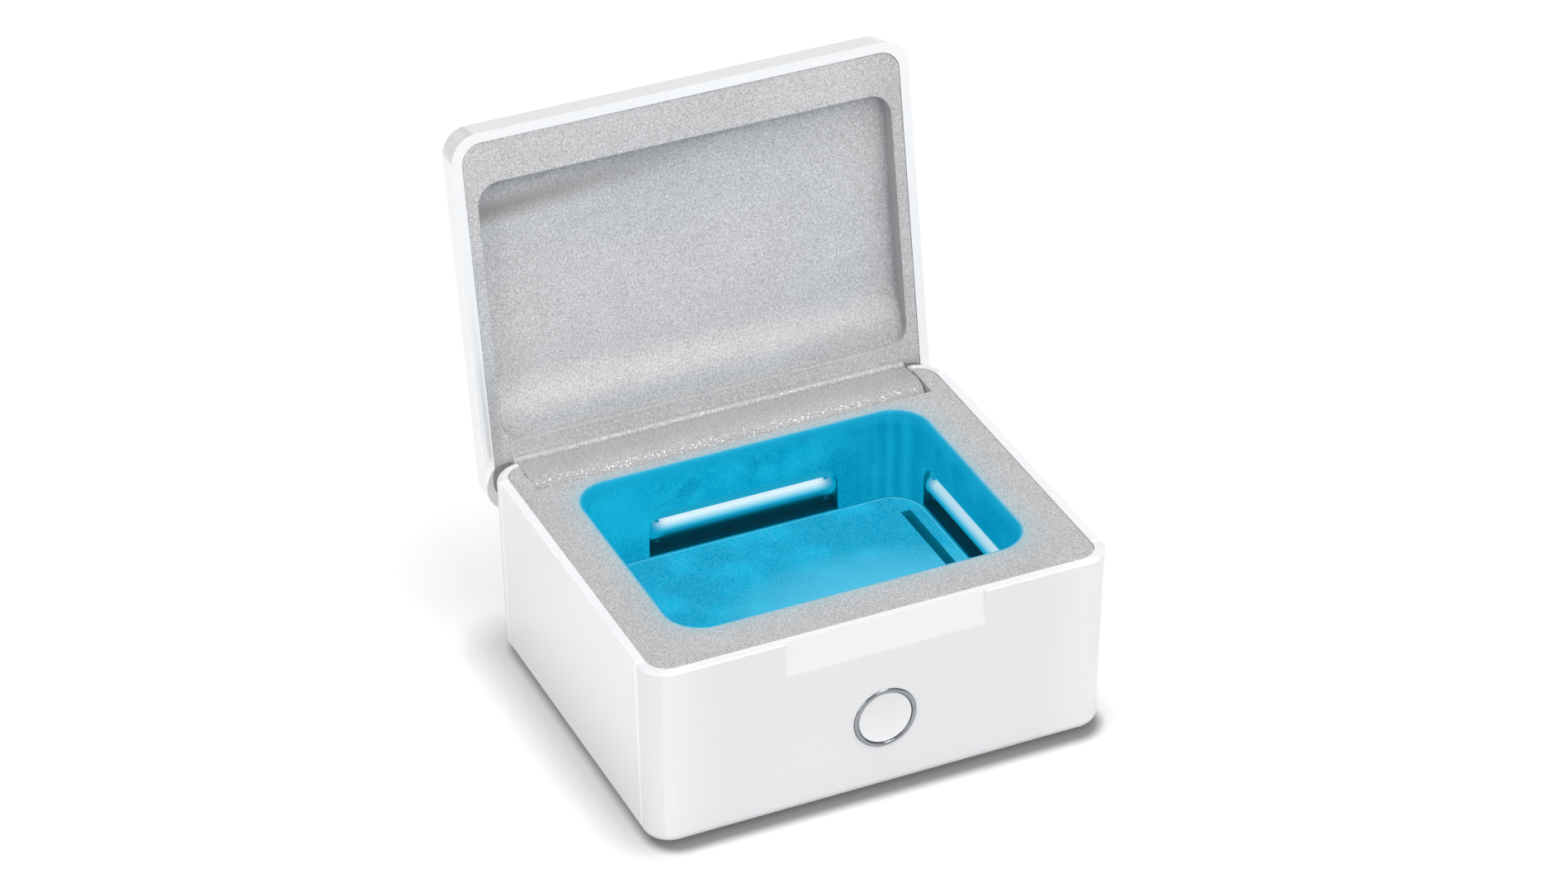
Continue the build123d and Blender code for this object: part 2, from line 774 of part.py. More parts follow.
with BuildPart() as switch_body:
    with BuildSketch(Plane.XZ.offset(-switch_board_front)):
        with Locations((0, button_z)):
            RectangleRounded(switch_size, switch_size, switch_corner)
    extrude(amount=switch_height)
    with BuildSketch(Plane.XZ.offset(-switch_front)):
        with Locations((0, button_z)):
            Circle(plunger_radius + plunger_gap)
    extrude(amount=-(plunger_in + button_travel + plunger_end_gap), mode=Mode.SUBTRACT)
switch_body.part.label = "switch_body"
export_step(switch_body.part, "parts/switch_body.step")

# ---- base: bottom cover, foot and screws --------------------------------------------------

with BuildPart() as bottom_cover:
    with BuildSketch(Plane.XY.offset(case_bottom)):
        RectangleRounded(
            cover_width - 2 * cover_gap, cover_depth - 2 * cover_gap, cover_corner - cover_gap
        )
    extrude(amount=cover_thick)
    # standoffs for the board and the fan
    with BuildSketch(Plane.XY.offset(cover_top)):
        with Locations(*board_holes):
            Circle(standoff_radius)
    extrude(amount=standoff_height)
    with BuildSketch(Plane.XY.offset(cover_top)):
        with Locations(*fan_holes):
            Circle(standoff_radius)
    extrude(amount=fan_standoff)
    with BuildSketch(Plane.XY.offset(board_base)):
        with Locations(*board_holes):
            Circle(screw_radius + screw_gap)
    extrude(amount=-board_screw_length, mode=Mode.SUBTRACT)
    with BuildSketch(Plane.XY.offset(fan_base)):
        with Locations(*fan_holes):
            Circle(fan_screw_radius + screw_gap)
    extrude(amount=-(fan_standoff + cover_thick / 2), mode=Mode.SUBTRACT)
    # sunk holes for the case screws
    with BuildSketch(Plane.XY.offset(case_bottom)):
        with Locations(*post_places):
            Circle(screw_radius + head_gap)
    extrude(amount=cover_thick, mode=Mode.SUBTRACT)
    with BuildSketch(Plane.XY.offset(case_bottom)):
        with Locations(*post_places):
            Circle(screw_head_radius + head_gap)
    extrude(amount=screw_sink, mode=Mode.SUBTRACT)
    # groove for the foot's key
    with BuildSketch(Plane.XY.offset(case_bottom)):
        RectangleRounded(
            foot_width - foot_band + foot_key_width + 2 * foot_gap,
            foot_depth - foot_band + foot_key_width + 2 * foot_gap,
            foot_corner - foot_band / 2 + foot_key_width / 2 + foot_gap,
        )
        RectangleRounded(
            foot_width - foot_band - foot_key_width - 2 * foot_gap,
            foot_depth - foot_band - foot_key_width - 2 * foot_gap,
            foot_corner - foot_band / 2 - foot_key_width / 2 - foot_gap,
            mode=Mode.SUBTRACT,
        )
    extrude(amount=foot_key + foot_gap, mode=Mode.SUBTRACT)
    # air grille under the fan: slots that fill a circle
    with BuildSketch(Plane.XY.offset(case_bottom)):
        for row in range(grille_rows):
            offset_y = (row - (grille_rows - 1) / 2) * grille_pitch
            half_length = math.sqrt(grille_radius**2 - offset_y**2)
            with Locations((fan_x, fan_y + offset_y)):
                SlotOverall(2 * half_length, grille_slot)
    extrude(amount=cover_thick, mode=Mode.SUBTRACT)
bottom_cover.part.label = "bottom_cover"
export_step(bottom_cover.part, "parts/bottom_cover.step")

with BuildPart() as foot_ring:
    with BuildSketch(Plane.XY):
        RectangleRounded(foot_width, foot_depth, foot_corner)
        RectangleRounded(
            foot_width - 2 * foot_band,
            foot_depth - 2 * foot_band,
            foot_corner - foot_band,
            mode=Mode.SUBTRACT,
        )
    extrude(amount=foot_height)
    with BuildSketch(Plane.XY.offset(foot_height)):
        RectangleRounded(
            foot_width - foot_band + foot_key_width,
            foot_depth - foot_band + foot_key_width,
            foot_corner - foot_band / 2 + foot_key_width / 2,
        )
        RectangleRounded(
            foot_width - foot_band - foot_key_width,
            foot_depth - foot_band - foot_key_width,
            foot_corner - foot_band / 2 - foot_key_width / 2,
            mode=Mode.SUBTRACT,
        )
    extrude(amount=foot_key)
foot_ring.part.label = "foot_ring"
export_step(foot_ring.part, "parts/foot_ring.step")

with BuildPart() as case_screws:
    with Locations(*[(x, y, case_bottom + screw_sink - screw_head_height) for x, y in post_places]):
        add(pan_screw(screw_depth, screw_radius, screw_head_radius, screw_head_height, True))
case_screws.part.label = "case_screws"
export_step(case_screws.part, "parts/case_screws.step")

# ---- base: circuit board and power inlet ----------------------------------------------------

with BuildPart() as circuit_board:
    with BuildSketch(Plane.XY.offset(board_base)):
        with Locations((board_x, board_y)):
            RectangleRounded(board_width, board_depth, board_corner)
        with Locations(*board_holes):
            Circle(screw_radius + head_gap, mode=Mode.SUBTRACT)
    extrude(amount=board_thick)
circuit_board.part.label = "circuit_board"
export_step(circuit_board.part, "parts/circuit_board.step")

with BuildPart() as board_parts:
    # the lamps' transformer, chips and plugs
    for part_x, part_y, part_width, part_depth, part_height in board_part_sizes:
        with BuildSketch(Plane.XY.offset(board_top)):
            with Locations((board_x + part_x, board_y + part_y)):
                RectangleRounded(part_width, part_depth, board_part_corner)
        extrude(amount=part_height)
board_parts.part.label = "board_parts"
export_step(board_parts.part, "parts/board_parts.step")

with BuildPart() as board_capacitors:
    with BuildSketch(Plane.XY.offset(board_top)):
        with Locations(*[(board_x + x, board_y + y) for x, y in capacitor_places]):
            Circle(capacitor_radius)
    extrude(amount=capacitor_height)
    chamfer(board_capacitors.edges().group_by(Axis.Z)[-1], capacitor_edge)
board_capacitors.part.label = "board_capacitors"
export_step(board_capacitors.part, "parts/board_capacitors.step")

with BuildPart() as board_screws:
    with Locations(*[(x, y, board_top + screw_head_height) for x, y in board_holes]):
        add(
            pan_screw(
                board_thick + board_screw_length - screw_gap,
                screw_radius,
                screw_head_radius,
                screw_head_height,
                False,
            ),
            rotation=(180, 0, 0),
        )
board_screws.part.label = "board_screws"
export_step(board_screws.part, "parts/board_screws.step")

with BuildPart() as power_jack:
    with BuildSketch(Plane.XZ.offset(-(jack_face - jack_nose_length))):
        with Locations((jack_x, jack_z)):
            Rectangle(jack_width, jack_height)
    extrude(amount=jack_length)
    chamfer(power_jack.edges().filter_by(Axis.Y), jack_edge)
    with BuildSketch(Plane.XZ.offset(-jack_face)):
        with Locations((jack_x, jack_z)):
            Circle(jack_nose_radius)
    extrude(amount=jack_nose_length)
    with BuildSketch(Plane.XZ.offset(-jack_face)):
        with Locations((jack_x, jack_z)):
            Circle(jack_bore_radius)
    extrude(amount=jack_bore_depth, mode=Mode.SUBTRACT)
power_jack.part.label = "power_jack"
export_step(power_jack.part, "parts/power_jack.step")

with BuildPart() as jack_pin:
    with BuildSketch(Plane.XZ.offset(-(jack_face - jack_pin_setback))):
        with Locations((jack_x, jack_z)):
            Circle(jack_pin_radius)
    extrude(amount=jack_bore_depth - jack_pin_setback)
    chamfer(jack_pin.edges().sort_by(Axis.Y)[-1], jack_pin_radius * 0.3)
jack_pin.part.label = "jack_pin"
export_step(jack_pin.part, "parts/jack_pin.step")

# ---- base: fan, duct and heater ---------------------------------------------------------------

with BuildPart() as fan_frame:
    with BuildSketch(Plane.XY.offset(fan_base)):
        with Locations((fan_x, fan_y)):
            RectangleRounded(fan_size, fan_size, fan_corner)
            Circle(fan_bore_radius, mode=Mode.SUBTRACT)
        with Locations(*fan_holes):
            Circle(fan_screw_radius + screw_gap, mode=Mode.SUBTRACT)
    extrude(amount=fan_height)
    # motor seat on its struts
    with BuildSketch(Plane.XY.offset(fan_base)):
        with Locations((fan_x, fan_y)):
            Circle(motor_radius)
            with PolarLocations(0, strut_count):
                Rectangle(
                    fan_bore_radius + fan_corner / 4, strut_width, align=(Align.MIN, Align.CENTER)
                )
    extrude(amount=motor_base_thick)
fan_frame.part.label = "fan_frame"
export_step(fan_frame.part, "parts/fan_frame.step")

with BuildPart() as fan_motor:
    with BuildSketch(Plane.XY.offset(fan_base + motor_base_thick)):
        with Locations((fan_x, fan_y)):
            Circle(coil_radius)
    extrude(amount=coil_height)
    with BuildSketch(Plane.XY.offset(fan_base + motor_base_thick + coil_height)):
        with Locations((fan_x, fan_y)):
            Circle(shaft_radius)
    extrude(amount=hub_height + hub_lift - coil_height)
fan_motor.part.label = "fan_motor"
export_step(fan_motor.part, "parts/fan_motor.step")

with BuildPart() as fan_blade:
    with BuildSketch(Plane.YZ.offset(hub_radius - hub_wall / 2)):
        Rectangle(blade_chord, blade_thick, rotation=blade_root_turn)
    with BuildSketch(Plane.YZ.offset(fan_bore_radius - blade_tip_gap)):
        Rectangle(blade_chord, blade_thick, rotation=blade_tip_turn)
    loft()

with BuildPart() as fan_wheel:
    hub_base = fan_base + motor_base_thick + hub_lift
    with BuildSketch(Plane.XY.offset(hub_base)):
        with Locations((fan_x, fan_y)):
            Circle(hub_radius)
    extrude(amount=hub_height)
    chamfer(fan_wheel.edges().sort_by(Axis.Z)[-1], hub_wall * 0.7)
    with Locations((fan_x, fan_y, hub_base + hub_height / 2)):
        with PolarLocations(0, blade_count):
            add(fan_blade.part)
    with BuildSketch(Plane.XY.offset(hub_base)):
        with Locations((fan_x, fan_y)):
            Circle(hub_radius - hub_wall)
    extrude(amount=coil_height + hub_lift, mode=Mode.SUBTRACT)
    with BuildSketch(Plane.XY.offset(hub_base)):
        with Locations((fan_x, fan_y)):
            Circle(shaft_radius + shaft_gap)
    extrude(amount=hub_height + hub_lift, mode=Mode.SUBTRACT)
fan_wheel.part.label = "fan_wheel"
export_step(fan_wheel.part, "parts/fan_wheel.step")

with BuildPart() as air_duct:
    with BuildSketch(Plane.XY.offset(fan_top)):
        with Locations((fan_x, fan_y)):
            RectangleRounded(fan_size, fan_size, fan_corner)
        with Locations(*fan_holes):
            Circle(fan_screw_radius + screw_gap, mode=Mode.SUBTRACT)
    extrude(amount=flange_plate)
    with BuildSketch(Plane.XY.offset(fan_top + flange_plate)):
        with Locations((fan_x, fan_y)):
            Rectangle(
                heater_width + 2 * (heater_gap + duct_wall),
                heater_length + 2 * (heater_gap + duct_wall),
            )
            Rectangle(
                heater_width + 2 * heater_gap,
                heater_length + 2 * heater_gap,
                mode=Mode.SUBTRACT,
            )
    extrude(amount=duct_height)
    with BuildSketch(Plane.XY.offset(fan_top)):
        with Locations((fan_x, fan_y)):
            Rectangle(heater_width - 2 * heater_ledge, heater_length - 2 * heater_ledge)
    extrude(amount=flange_plate, mode=Mode.SUBTRACT)
air_duct.part.label = "air_duct"
export_step(air_duct.part, "parts/air_duct.step")

with BuildPart() as fan_screws:
    with Locations(*[(x, y, fan_top + flange_plate + fan_screw_head_height) for x, y in fan_holes]):
        add(
            pan_screw(
                flange_plate + fan_height + fan_standoff + cover_thick / 2 - 2 * screw_gap,
                fan_screw_radius,
                fan_screw_head,
                fan_screw_head_height,
                False,
            ),
            rotation=(180, 0, 0),
        )
fan_screws.part.label = "fan_screws"
export_step(fan_screws.part, "parts/fan_screws.step")

with BuildPart() as heater_bars:
    with BuildSketch(Plane.XY.offset(heater_base)):
        for bar_y in (-heater_bar_y, heater_bar_y):
            with Locations((fan_x, fan_y + bar_y)):
                Rectangle(heater_width, heater_bar_width)
    extrude(amount=heater_height)
heater_bars.part.label = "heater_bars"
export_step(heater_bars.part, "parts/heater_bars.step")

with BuildPart() as heater_fins:
    # fins between the bars and outside them, each row on its own strips
    inner_row = 2 * heater_bar_y - heater_bar_width
    outer_row = heater_length / 2 - heater_bar_y - heater_bar_width / 2
    outer_y = heater_length / 2 - outer_row / 2
    with BuildSketch(Plane.XY.offset(heater_base)):
        for row_y, row_depth in ((0, inner_row), (-outer_y, outer_row), (outer_y, outer_row)):
            for edge in (-1, 1):
                with Locations((fan_x, fan_y + row_y + edge * (row_depth - fin_thick) / 2)):
                    Rectangle(heater_width, fin_thick)
            with Locations((fan_x, fan_y + row_y)):
                with GridLocations((heater_width - fin_thick) / (fin_count - 1), 1, fin_count, 1):
                    Rectangle(fin_thick, row_depth)
    extrude(amount=heater_height)
heater_fins.part.label = "heater_fins"
export_step(heater_fins.part, "parts/heater_fins.step")

# ---- base: magnets and hinge pins ----------------------------------------------------------------

with BuildPart() as base_magnets:
    with BuildSketch(Plane.XY.offset(deck_under)):
        with Locations(*magnet_places):
            Circle(magnet_radius)
    extrude(amount=-magnet_thick)
base_magnets.part.label = "base_magnets"
export_step(base_magnets.part, "parts/base_magnets.step")

with BuildPart() as hinge_pins:
    pin_inner = barrel_half - pin_reach
    pin_outer = notch_half + pin_bearing
    for side in (-1, 1):
        with BuildSketch(Plane.YZ.offset(side * pin_inner)):
            with Locations((hinge_y, hinge_z)):
                Circle(pin_radius)
        extrude(amount=side * (pin_outer - pin_inner))
    chamfer(hinge_pins.edges().filter_by(GeomType.CIRCLE), pin_radius * 0.15)
hinge_pins.part.label = "hinge_pins"
export_step(hinge_pins.part, "parts/hinge_pins.step")

# ---- lid: everything is drawn on the lid's own planes, leaning back ----------------------------------

with BuildPart() as corner_relief:
    # the base's rounded rear corners pass through here as the lid swings
    with BuildSketch(hinge_plane):
        with BuildLine():
            relief_start = (notch_half - relief_overlap, relief_middle)
            relief_end = (case_width / 2 + relief_side, hinge_drop - relief_side_drop)
            Spline(
                relief_start,
                *[(case_width / 2 - side, relief_middle - less) for side, less in relief_stations],
                relief_end,
            )
            Polyline(relief_end, (relief_end[0], 0), (relief_start[0], 0), relief_start)
        make_face()
    revolve(axis=hinge_axis, revolution_arc=360)
    mirror(about=Plane.YZ)

with BuildPart() as lid_shell:
    with BuildSketch(lid_plane.offset(lid_rim)):
        with Locations((0, lid_middle)):
            RectangleRounded(case_width, case_depth, corner_radius)
    with BuildSketch(lid_plane.offset(lid_rim + lid_height)):
        with Locations((0, lid_middle)):
            RectangleRounded(
                case_width - 2 * lid_inset, case_depth - 2 * lid_inset, corner_radius - lid_inset / 2
            )
    loft()
    fillet(lid_shell.faces().sort_by(lid_up)[-1].edges(), lid_top_round)
    with BuildSketch(lid_plane.offset(lid_rim)):
        with Locations((0, lid_middle)):
            RectangleRounded(lid_inner_width, lid_inner_depth, rim_corner)
    extrude(amount=lid_height - lid_top_thick, mode=Mode.SUBTRACT)
    add(corner_relief.part, mode=Mode.SUBTRACT)
lid_shell.part.label = "lid_shell"
export_step(lid_shell.part, "parts/lid_shell.step")


def pocket_form(wall):
    """The pocket, or with a wall the bulge that holds it."""
    with BuildPart() as form:
        with BuildSketch(lid_side) as profile:
            with BuildLine():
                Polyline(
                    (pocket_start - wall, border_face - border_thick),
                    (pocket_start - wall, border_face + pocket_depth + wall),
                    (pocket_end - pocket_slope, border_face + pocket_depth + wall),
                    (pocket_end - pocket_shelf, border_face + pocket_shelf_depth + wall),
                    (pocket_end + wall, border_face + pocket_rear_depth + wall),
                    (pocket_end + wall, border_face - border_thick),
                    close=True,
                )
            make_face()
            # soft bends where the back starts to rise and where it flattens out
            bends = profile.vertices().sort_by(Axis.X)[2:-2]
            fillet(bends, pocket_bend)
        extrude(amount=case_width / 2, both=True)
        with BuildSketch(lid_plane.offset(border_face - border_thick)):
            with Locations((0, (pocket_start + pocket_end) / 2)):
                RectangleRounded(
                    pocket_width + 2 * wall, pocket_length + 2 * wall, pocket_corner + wall
                )
        extrude(amount=2 * border_thick + 2 * pocket_depth, mode=Mode.INTERSECT)
    return form.part


with BuildPart() as lid_liner:
    with BuildSketch(lid_plane.offset(border_face)):
        with Locations((0, lid_middle)):
            RectangleRounded(
                lid_inner_width - 2 * liner_gap,
                lid_inner_depth - 2 * liner_gap,
                rim_corner - liner_gap,
            )
    extrude(amount=border_thick)
    # bulge behind the pocket, kept above the border's face
    add(pocket_form(pocket_wall))
    with BuildSketch(lid_plane.offset(border_face)):
        with Locations((0, lid_middle)):
            Rectangle(case_width, case_depth)
    extrude(amount=-2 * border_thick, mode=Mode.SUBTRACT)
    # walls round the corner reliefs, and the barrel on its web
    with BuildSketch(lid_plane.offset(border_face)):
        with Locations((-relief_wall_x, relief_wall_y), (relief_wall_x, relief_wall_y)):
            Rectangle(relief_wall_width, relief_wall_depth)
        with Locations((0, lid_middle)):
            RectangleRounded(
                lid_inner_width - 2 * liner_gap,
                lid_inner_depth - 2 * liner_gap,
                rim_corner - liner_gap,
                mode=Mode.INTERSECT,
            )
    extrude(amount=lid_height - lid_top_thick - border_drop - liner_gap)
    add(corner_relief.part, mode=Mode.SUBTRACT)
    with BuildSketch(lid_side):
        Circle(barrel_radius)
        Rectangle(2 * barrel_radius, lid_rim, align=(Align.CENTER, Align.MIN))
        with BuildLine():
            web_corner = (-barrel_radius, border_face)
            Line(web_corner, (-barrel_radius, border_face - web_fillet))
            RadiusArc(
                (-barrel_radius, border_face - web_fillet),
                (-barrel_radius - web_fillet, border_face),
                web_fillet,
            )
            Line((-barrel_radius - web_fillet, border_face), web_corner)
        make_face()
        with Locations((-barrel_radius, lid_rim)):
            Rectangle(
                2 * barrel_radius - rear_web_step,
                border_back - lid_rim,
                align=(Align.MIN, Align.MIN),
            )
    extrude(amount=barrel_half, both=True)
    # pocket
    add(pocket_form(0), mode=Mode.SUBTRACT)
    # hollow in the web, open into the lid
    with BuildSketch(lid_side):
        with Locations((-rear_web_step / 2, -hollow_drop)):
            Rectangle(hollow_width, case_height, align=(Align.CENTER, Align.MIN))
    extrude(amount=barrel_half - hollow_end, both=True, mode=Mode.SUBTRACT)
    # bores for the hinge pins
    for side in (-1, 1):
        with BuildSketch(Plane.YZ.offset(side * (barrel_half - pin_reach - pin_press))):
            with Locations((hinge_y, hinge_z)):
                Circle(pin_radius + pin_running)
        extrude(amount=side * (pin_reach + pin_radius), mode=Mode.SUBTRACT)
    # rings for the magnets
    with BuildSketch(lid_plane.offset(border_back)):
        with Locations(*[(x, y - hinge_y) for x, y in magnet_places]):
            Circle(magnet_ring_radius)
            Circle(magnet_radius + magnet_gap, mode=Mode.SUBTRACT)
    extrude(amount=magnet_thick)
lid_liner.part.label = "lid_liner"
export_step(lid_liner.part, "parts/lid_liner.step")

with BuildPart() as lid_magnets:
    with BuildSketch(lid_plane.offset(border_back)):
        with Locations(*[(x, y - hinge_y) for x, y in magnet_places]):
            Circle(magnet_radius)
    extrude(amount=magnet_thick)
lid_magnets.part.label = "lid_magnets"
export_step(lid_magnets.part, "parts/lid_magnets.step")

# ---- button ------------------------------------------------------------------------------------------

with BuildPart() as button_cap:
    with BuildSketch(Plane.XZ.offset(-cap_front)):
        with Locations((0, button_z)):
            Circle(button_radius)
    extrude(amount=-(flange_front - cap_front))
    fillet(button_cap.faces().sort_by(Axis.Y)[0].edges(), button_edge)
    dish_radius = (button_radius**2 + dish_depth**2) / (2 * dish_depth)
    with Locations((0, cap_front + dish_depth - dish_radius, button_z)):
        Sphere(dish_radius, mode=Mode.SUBTRACT)
    with BuildSketch(Plane.XZ.offset(-flange_front)):
        with Locations((0, button_z)):
            Circle(flange_radius)
    extrude(amount=-flange_thick)
    with BuildSketch(Plane.XZ.offset(-flange_back)):
        with Locations((0, button_z)):
            Circle(stem_radius)
    extrude(amount=-stem_length)
button_cap.part.label = "button_cap"
export_step(button_cap.part, "parts/button_cap.step")

with BuildPart() as switch_plunger:
    with BuildSketch(Plane.XZ.offset(-stem_end)):
        with Locations((0, button_z)):
            Circle(plunger_radius)
    extrude(amount=-(plunger_out + plunger_in))
switch_plunger.part.label = "switch_plunger"
export_step(switch_plunger.part, "parts/switch_plunger.step")
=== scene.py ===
import bpy
import math
from mathutils import Matrix, Vector

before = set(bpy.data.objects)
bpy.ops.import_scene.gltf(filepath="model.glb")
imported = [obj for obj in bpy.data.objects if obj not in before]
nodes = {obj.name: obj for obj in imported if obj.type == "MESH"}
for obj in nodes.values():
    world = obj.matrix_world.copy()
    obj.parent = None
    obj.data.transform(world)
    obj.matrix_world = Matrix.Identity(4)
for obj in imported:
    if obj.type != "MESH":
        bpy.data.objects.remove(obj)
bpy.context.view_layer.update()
print("frame loaded, nodes:", len(nodes))


# ---- shader maths written as plain expressions

class Wire:
    def __init__(self, graph, socket):
        self.graph = graph
        self.socket = socket

    def maths(self, operation, *values):
        return self.graph.add("Math", {"operation": operation}, dict(enumerate(values)))

    def __add__(self, other):
        return self.maths("ADD", self, other)

    def __radd__(self, other):
        return self.maths("ADD", other, self)

    def __sub__(self, other):
        return self.maths("SUBTRACT", self, other)

    def __rsub__(self, other):
        return self.maths("SUBTRACT", other, self)

    def __mul__(self, other):
        return self.maths("MULTIPLY", self, other)

    def __rmul__(self, other):
        return self.maths("MULTIPLY", other, self)

    def __truediv__(self, other):
        return self.maths("DIVIDE", self, other)

    def __pow__(self, other):
        return self.maths("POWER", self, other)

    def __rpow__(self, other):
        return self.maths("POWER", other, self)

    def __neg__(self):
        return self.maths("MULTIPLY", self, -1.0)

    def __abs__(self):
        return self.maths("ABSOLUTE", self)

    def atLeast(self, other):
        return self.maths("MAXIMUM", self, other)

    def atMost(self, other):
        return self.maths("MINIMUM", self, other)


class Graph:
    def __init__(self, name):
        self.material = bpy.data.materials.new(name)
        self.material.use_nodes = True
        self.tree = self.material.node_tree
        self.tree.nodes.clear()

    # one way to make any node: its type, its settings, its sockets
    def add(self, kind, settings=None, sockets=None, out=0):
        node = self.tree.nodes.new("ShaderNode" + kind)
        for key, value in (settings or {}).items():
            if key == "stops":
                ramp = node.color_ramp.elements
                while len(ramp) < len(value):
                    ramp.new(0.5)
                for stop, (place, color) in zip(ramp, value):
                    stop.position = place
                    stop.color = (*color, 1.0)
            else:
                setattr(node, key, value)
        for key, value in (sockets or {}).items():
            self.feed(node.inputs[key], value)
        return Wire(self, node.outputs[out]) if len(node.outputs) else None

    def feed(self, socket, value):
        if isinstance(value, Wire):
            self.tree.links.new(value.socket, socket)
        elif socket.type == "RGBA":
            socket.default_value = (*value, 1.0)
        else:
            socket.default_value = value

    def place(self):
        return self.add("TexCoord", out="Object")

    # one part of the way a face looks
    def facing(self, axis):
        parts = self.add("SeparateXYZ", None, {0: self.add("TexCoord", out="Normal")})
        return Wire(self, parts.socket.node.outputs[axis])

    # x, y and z of a place, in millimetres
    def millimetres(self):
        parts = self.add("SeparateXYZ", None, {0: self.place()})
        node = parts.socket.node
        return [Wire(self, node.outputs[i]) * 1000.0 for i in range(3)]

    def noise(self, size, detail=2.0, roughness=0.5, stretch=(1, 1, 1)):
        where = self.add("Mapping", None, {"Vector": self.place(), "Scale": stretch})
        return self.add("TexNoise", None, {
            "Vector": where, "Scale": 1.0 / size, "Detail": detail, "Roughness": roughness,
        })

    # one value for each grain of a size
    def cells(self, size):
        sockets = {"Vector": self.place(), "Scale": 1.0 / size}
        color = self.add("TexVoronoi", None, sockets, "Color")
        return self.add("SeparateColor", None, {0: color})

    # a steady rise from 0 to 1 between two values, and the fall from 1 to 0
    def step(self, value, low, high, smooth=True):
        return self.add("MapRange", {"interpolation_type": "SMOOTHSTEP" if smooth else "LINEAR"}, {
            "Value": value, "From Min": low, "From Max": high, "To Min": 0.0, "To Max": 1.0,
        })

    def fall(self, value, low, high, smooth=True):
        return 1.0 - self.step(value, low, high, smooth)

    # a Mix node keeps its two colors in sockets 6 and 7, and gives the mixed one in 2
    def blend(self, factor, first, second, how="MIX"):
        return self.add("Mix", {"data_type": "RGBA", "blend_type": how}, {
            0: factor, 6: first, 7: second,
        }, 2)

    def tint(self, factor, color, by):
        return self.blend(factor, color, by, "MULTIPLY")

    def ramp(self, value, *stops):
        return self.add("ValToRGB", {"stops": stops}, {"Fac": value})

    def bump(self, height, strength, distance):
        return self.add("Bump", None, {
            "Height": height, "Strength": strength, "Distance": distance,
        })

    def finish(self, sockets):
        shader = self.add("BsdfPrincipled", None, sockets)
        self.add("OutputMaterial", None, {"Surface": shader})
        return self.material


# the glow of a surface that gives no light
unlit = (0.0, 0.0, 0.0)


def dress(material, *names):
    for name in names:
        slots = nodes[name].data.materials
        slots.clear()
        slots.append(material)


# ---- camera, as the photograph was taken

cameraSettings = {
    "place": (-0.347004, -0.757369, 0.595477),
    "azimuth": -0.4265,
    "height": 0.5728,
    "roll": -0.0061,
    "lens": 115.28,
    "sensor": 36,
    "near": 0.05,
}


def setCamera(s):
    az, el, roll = s["azimuth"], s["height"], s["roll"]
    back = Vector((math.sin(az) * math.cos(el), -math.cos(az) * math.cos(el), math.sin(el)))
    level = Vector((math.cos(az), math.sin(az), 0))
    upright = back.cross(level)
    right = math.cos(roll) * level + math.sin(roll) * upright
    up = math.cos(roll) * upright - math.sin(roll) * level
    data = bpy.data.cameras.new("camera")
    data.sensor_width = s["sensor"]
    data.lens = s["lens"]
    data.clip_start = s["near"]
    camera = bpy.data.objects.new("camera", data)
    bpy.context.scene.collection.objects.link(camera)
    turn = Matrix((right, up, back)).transposed().to_4x4()
    camera.matrix_world = Matrix.Translation(s["place"]) @ turn
    bpy.context.scene.camera = camera


setCamera(cameraSettings)
print("camera set")


# ---- floor and light

lightSettings = {
    "world": 0.52, "worldColor": (0.985, 0.99, 1.0, 1.0), "target": (0, 0, 0.04),
    "lamps": {
        "overhead": {"place": (0.30, -0.16, 1.05), "size": 0.42, "power": 4.1},
        "left": {"place": (-1.05, -0.30, 0.55), "size": 0.8, "power": 4.3},
        "front": {"place": (0.15, -0.90, 1.10), "size": 0.6, "power": 5.1},
    },
}


def softLight(name, s, target):
    data = bpy.data.lights.new(name, "AREA")
    data.shape = "SQUARE"
    data.size = s["size"]
    data.energy = s["power"]
    lamp = bpy.data.objects.new(name, data)
    bpy.context.scene.collection.objects.link(lamp)
    lamp.location = s["place"]
    aim = Vector(target) - Vector(s["place"])
    lamp.rotation_euler = aim.to_track_quat("-Z", "Y").to_euler()


def studioLight(s):
    for name, lamp in s["lamps"].items():
        softLight(name, lamp, s["target"])
    world = bpy.data.worlds.new("studio")
    world.use_nodes = True
    bpy.context.scene.world = world
    background = world.node_tree.nodes["Background"].inputs
    background["Color"].default_value = s["worldColor"]
    background["Strength"].default_value = s["world"]
    bpy.context.scene.view_settings.view_transform = "Standard"


floorSettings = {
    "half": 3.0, "drop": 0.00004, "color": (0.70, 0.70, 0.70), "lift": 0.455, "roughness": 0.9,
    "near": {"halfWidth": 47.6, "halfLength": 39.5, "middle": -1.3, "across": 0.3, "corner": 5.0},
    "nearSpan": (0.2, 3.5), "nearShade": 0.47,
    "wide": {"halfWidth": 50.5, "halfLength": 40.6, "middle": -0.4, "across": -0.9, "corner": 5.8},
    "wideSpan": (0.0, 9.5), "wideShade": 0.30,
}


def distanceOut(x, y, s):
    # distance to a rounded rectangle, below 0 inside it
    over = abs(x - s["across"]) - (s["halfWidth"] - s["corner"])
    along = abs(y - s["middle"]) - (s["halfLength"] - s["corner"])
    far = (over.atLeast(0.0) ** 2.0 + along.atLeast(0.0) ** 2.0) ** 0.5
    return far + over.atLeast(along).atMost(0.0) - s["corner"]


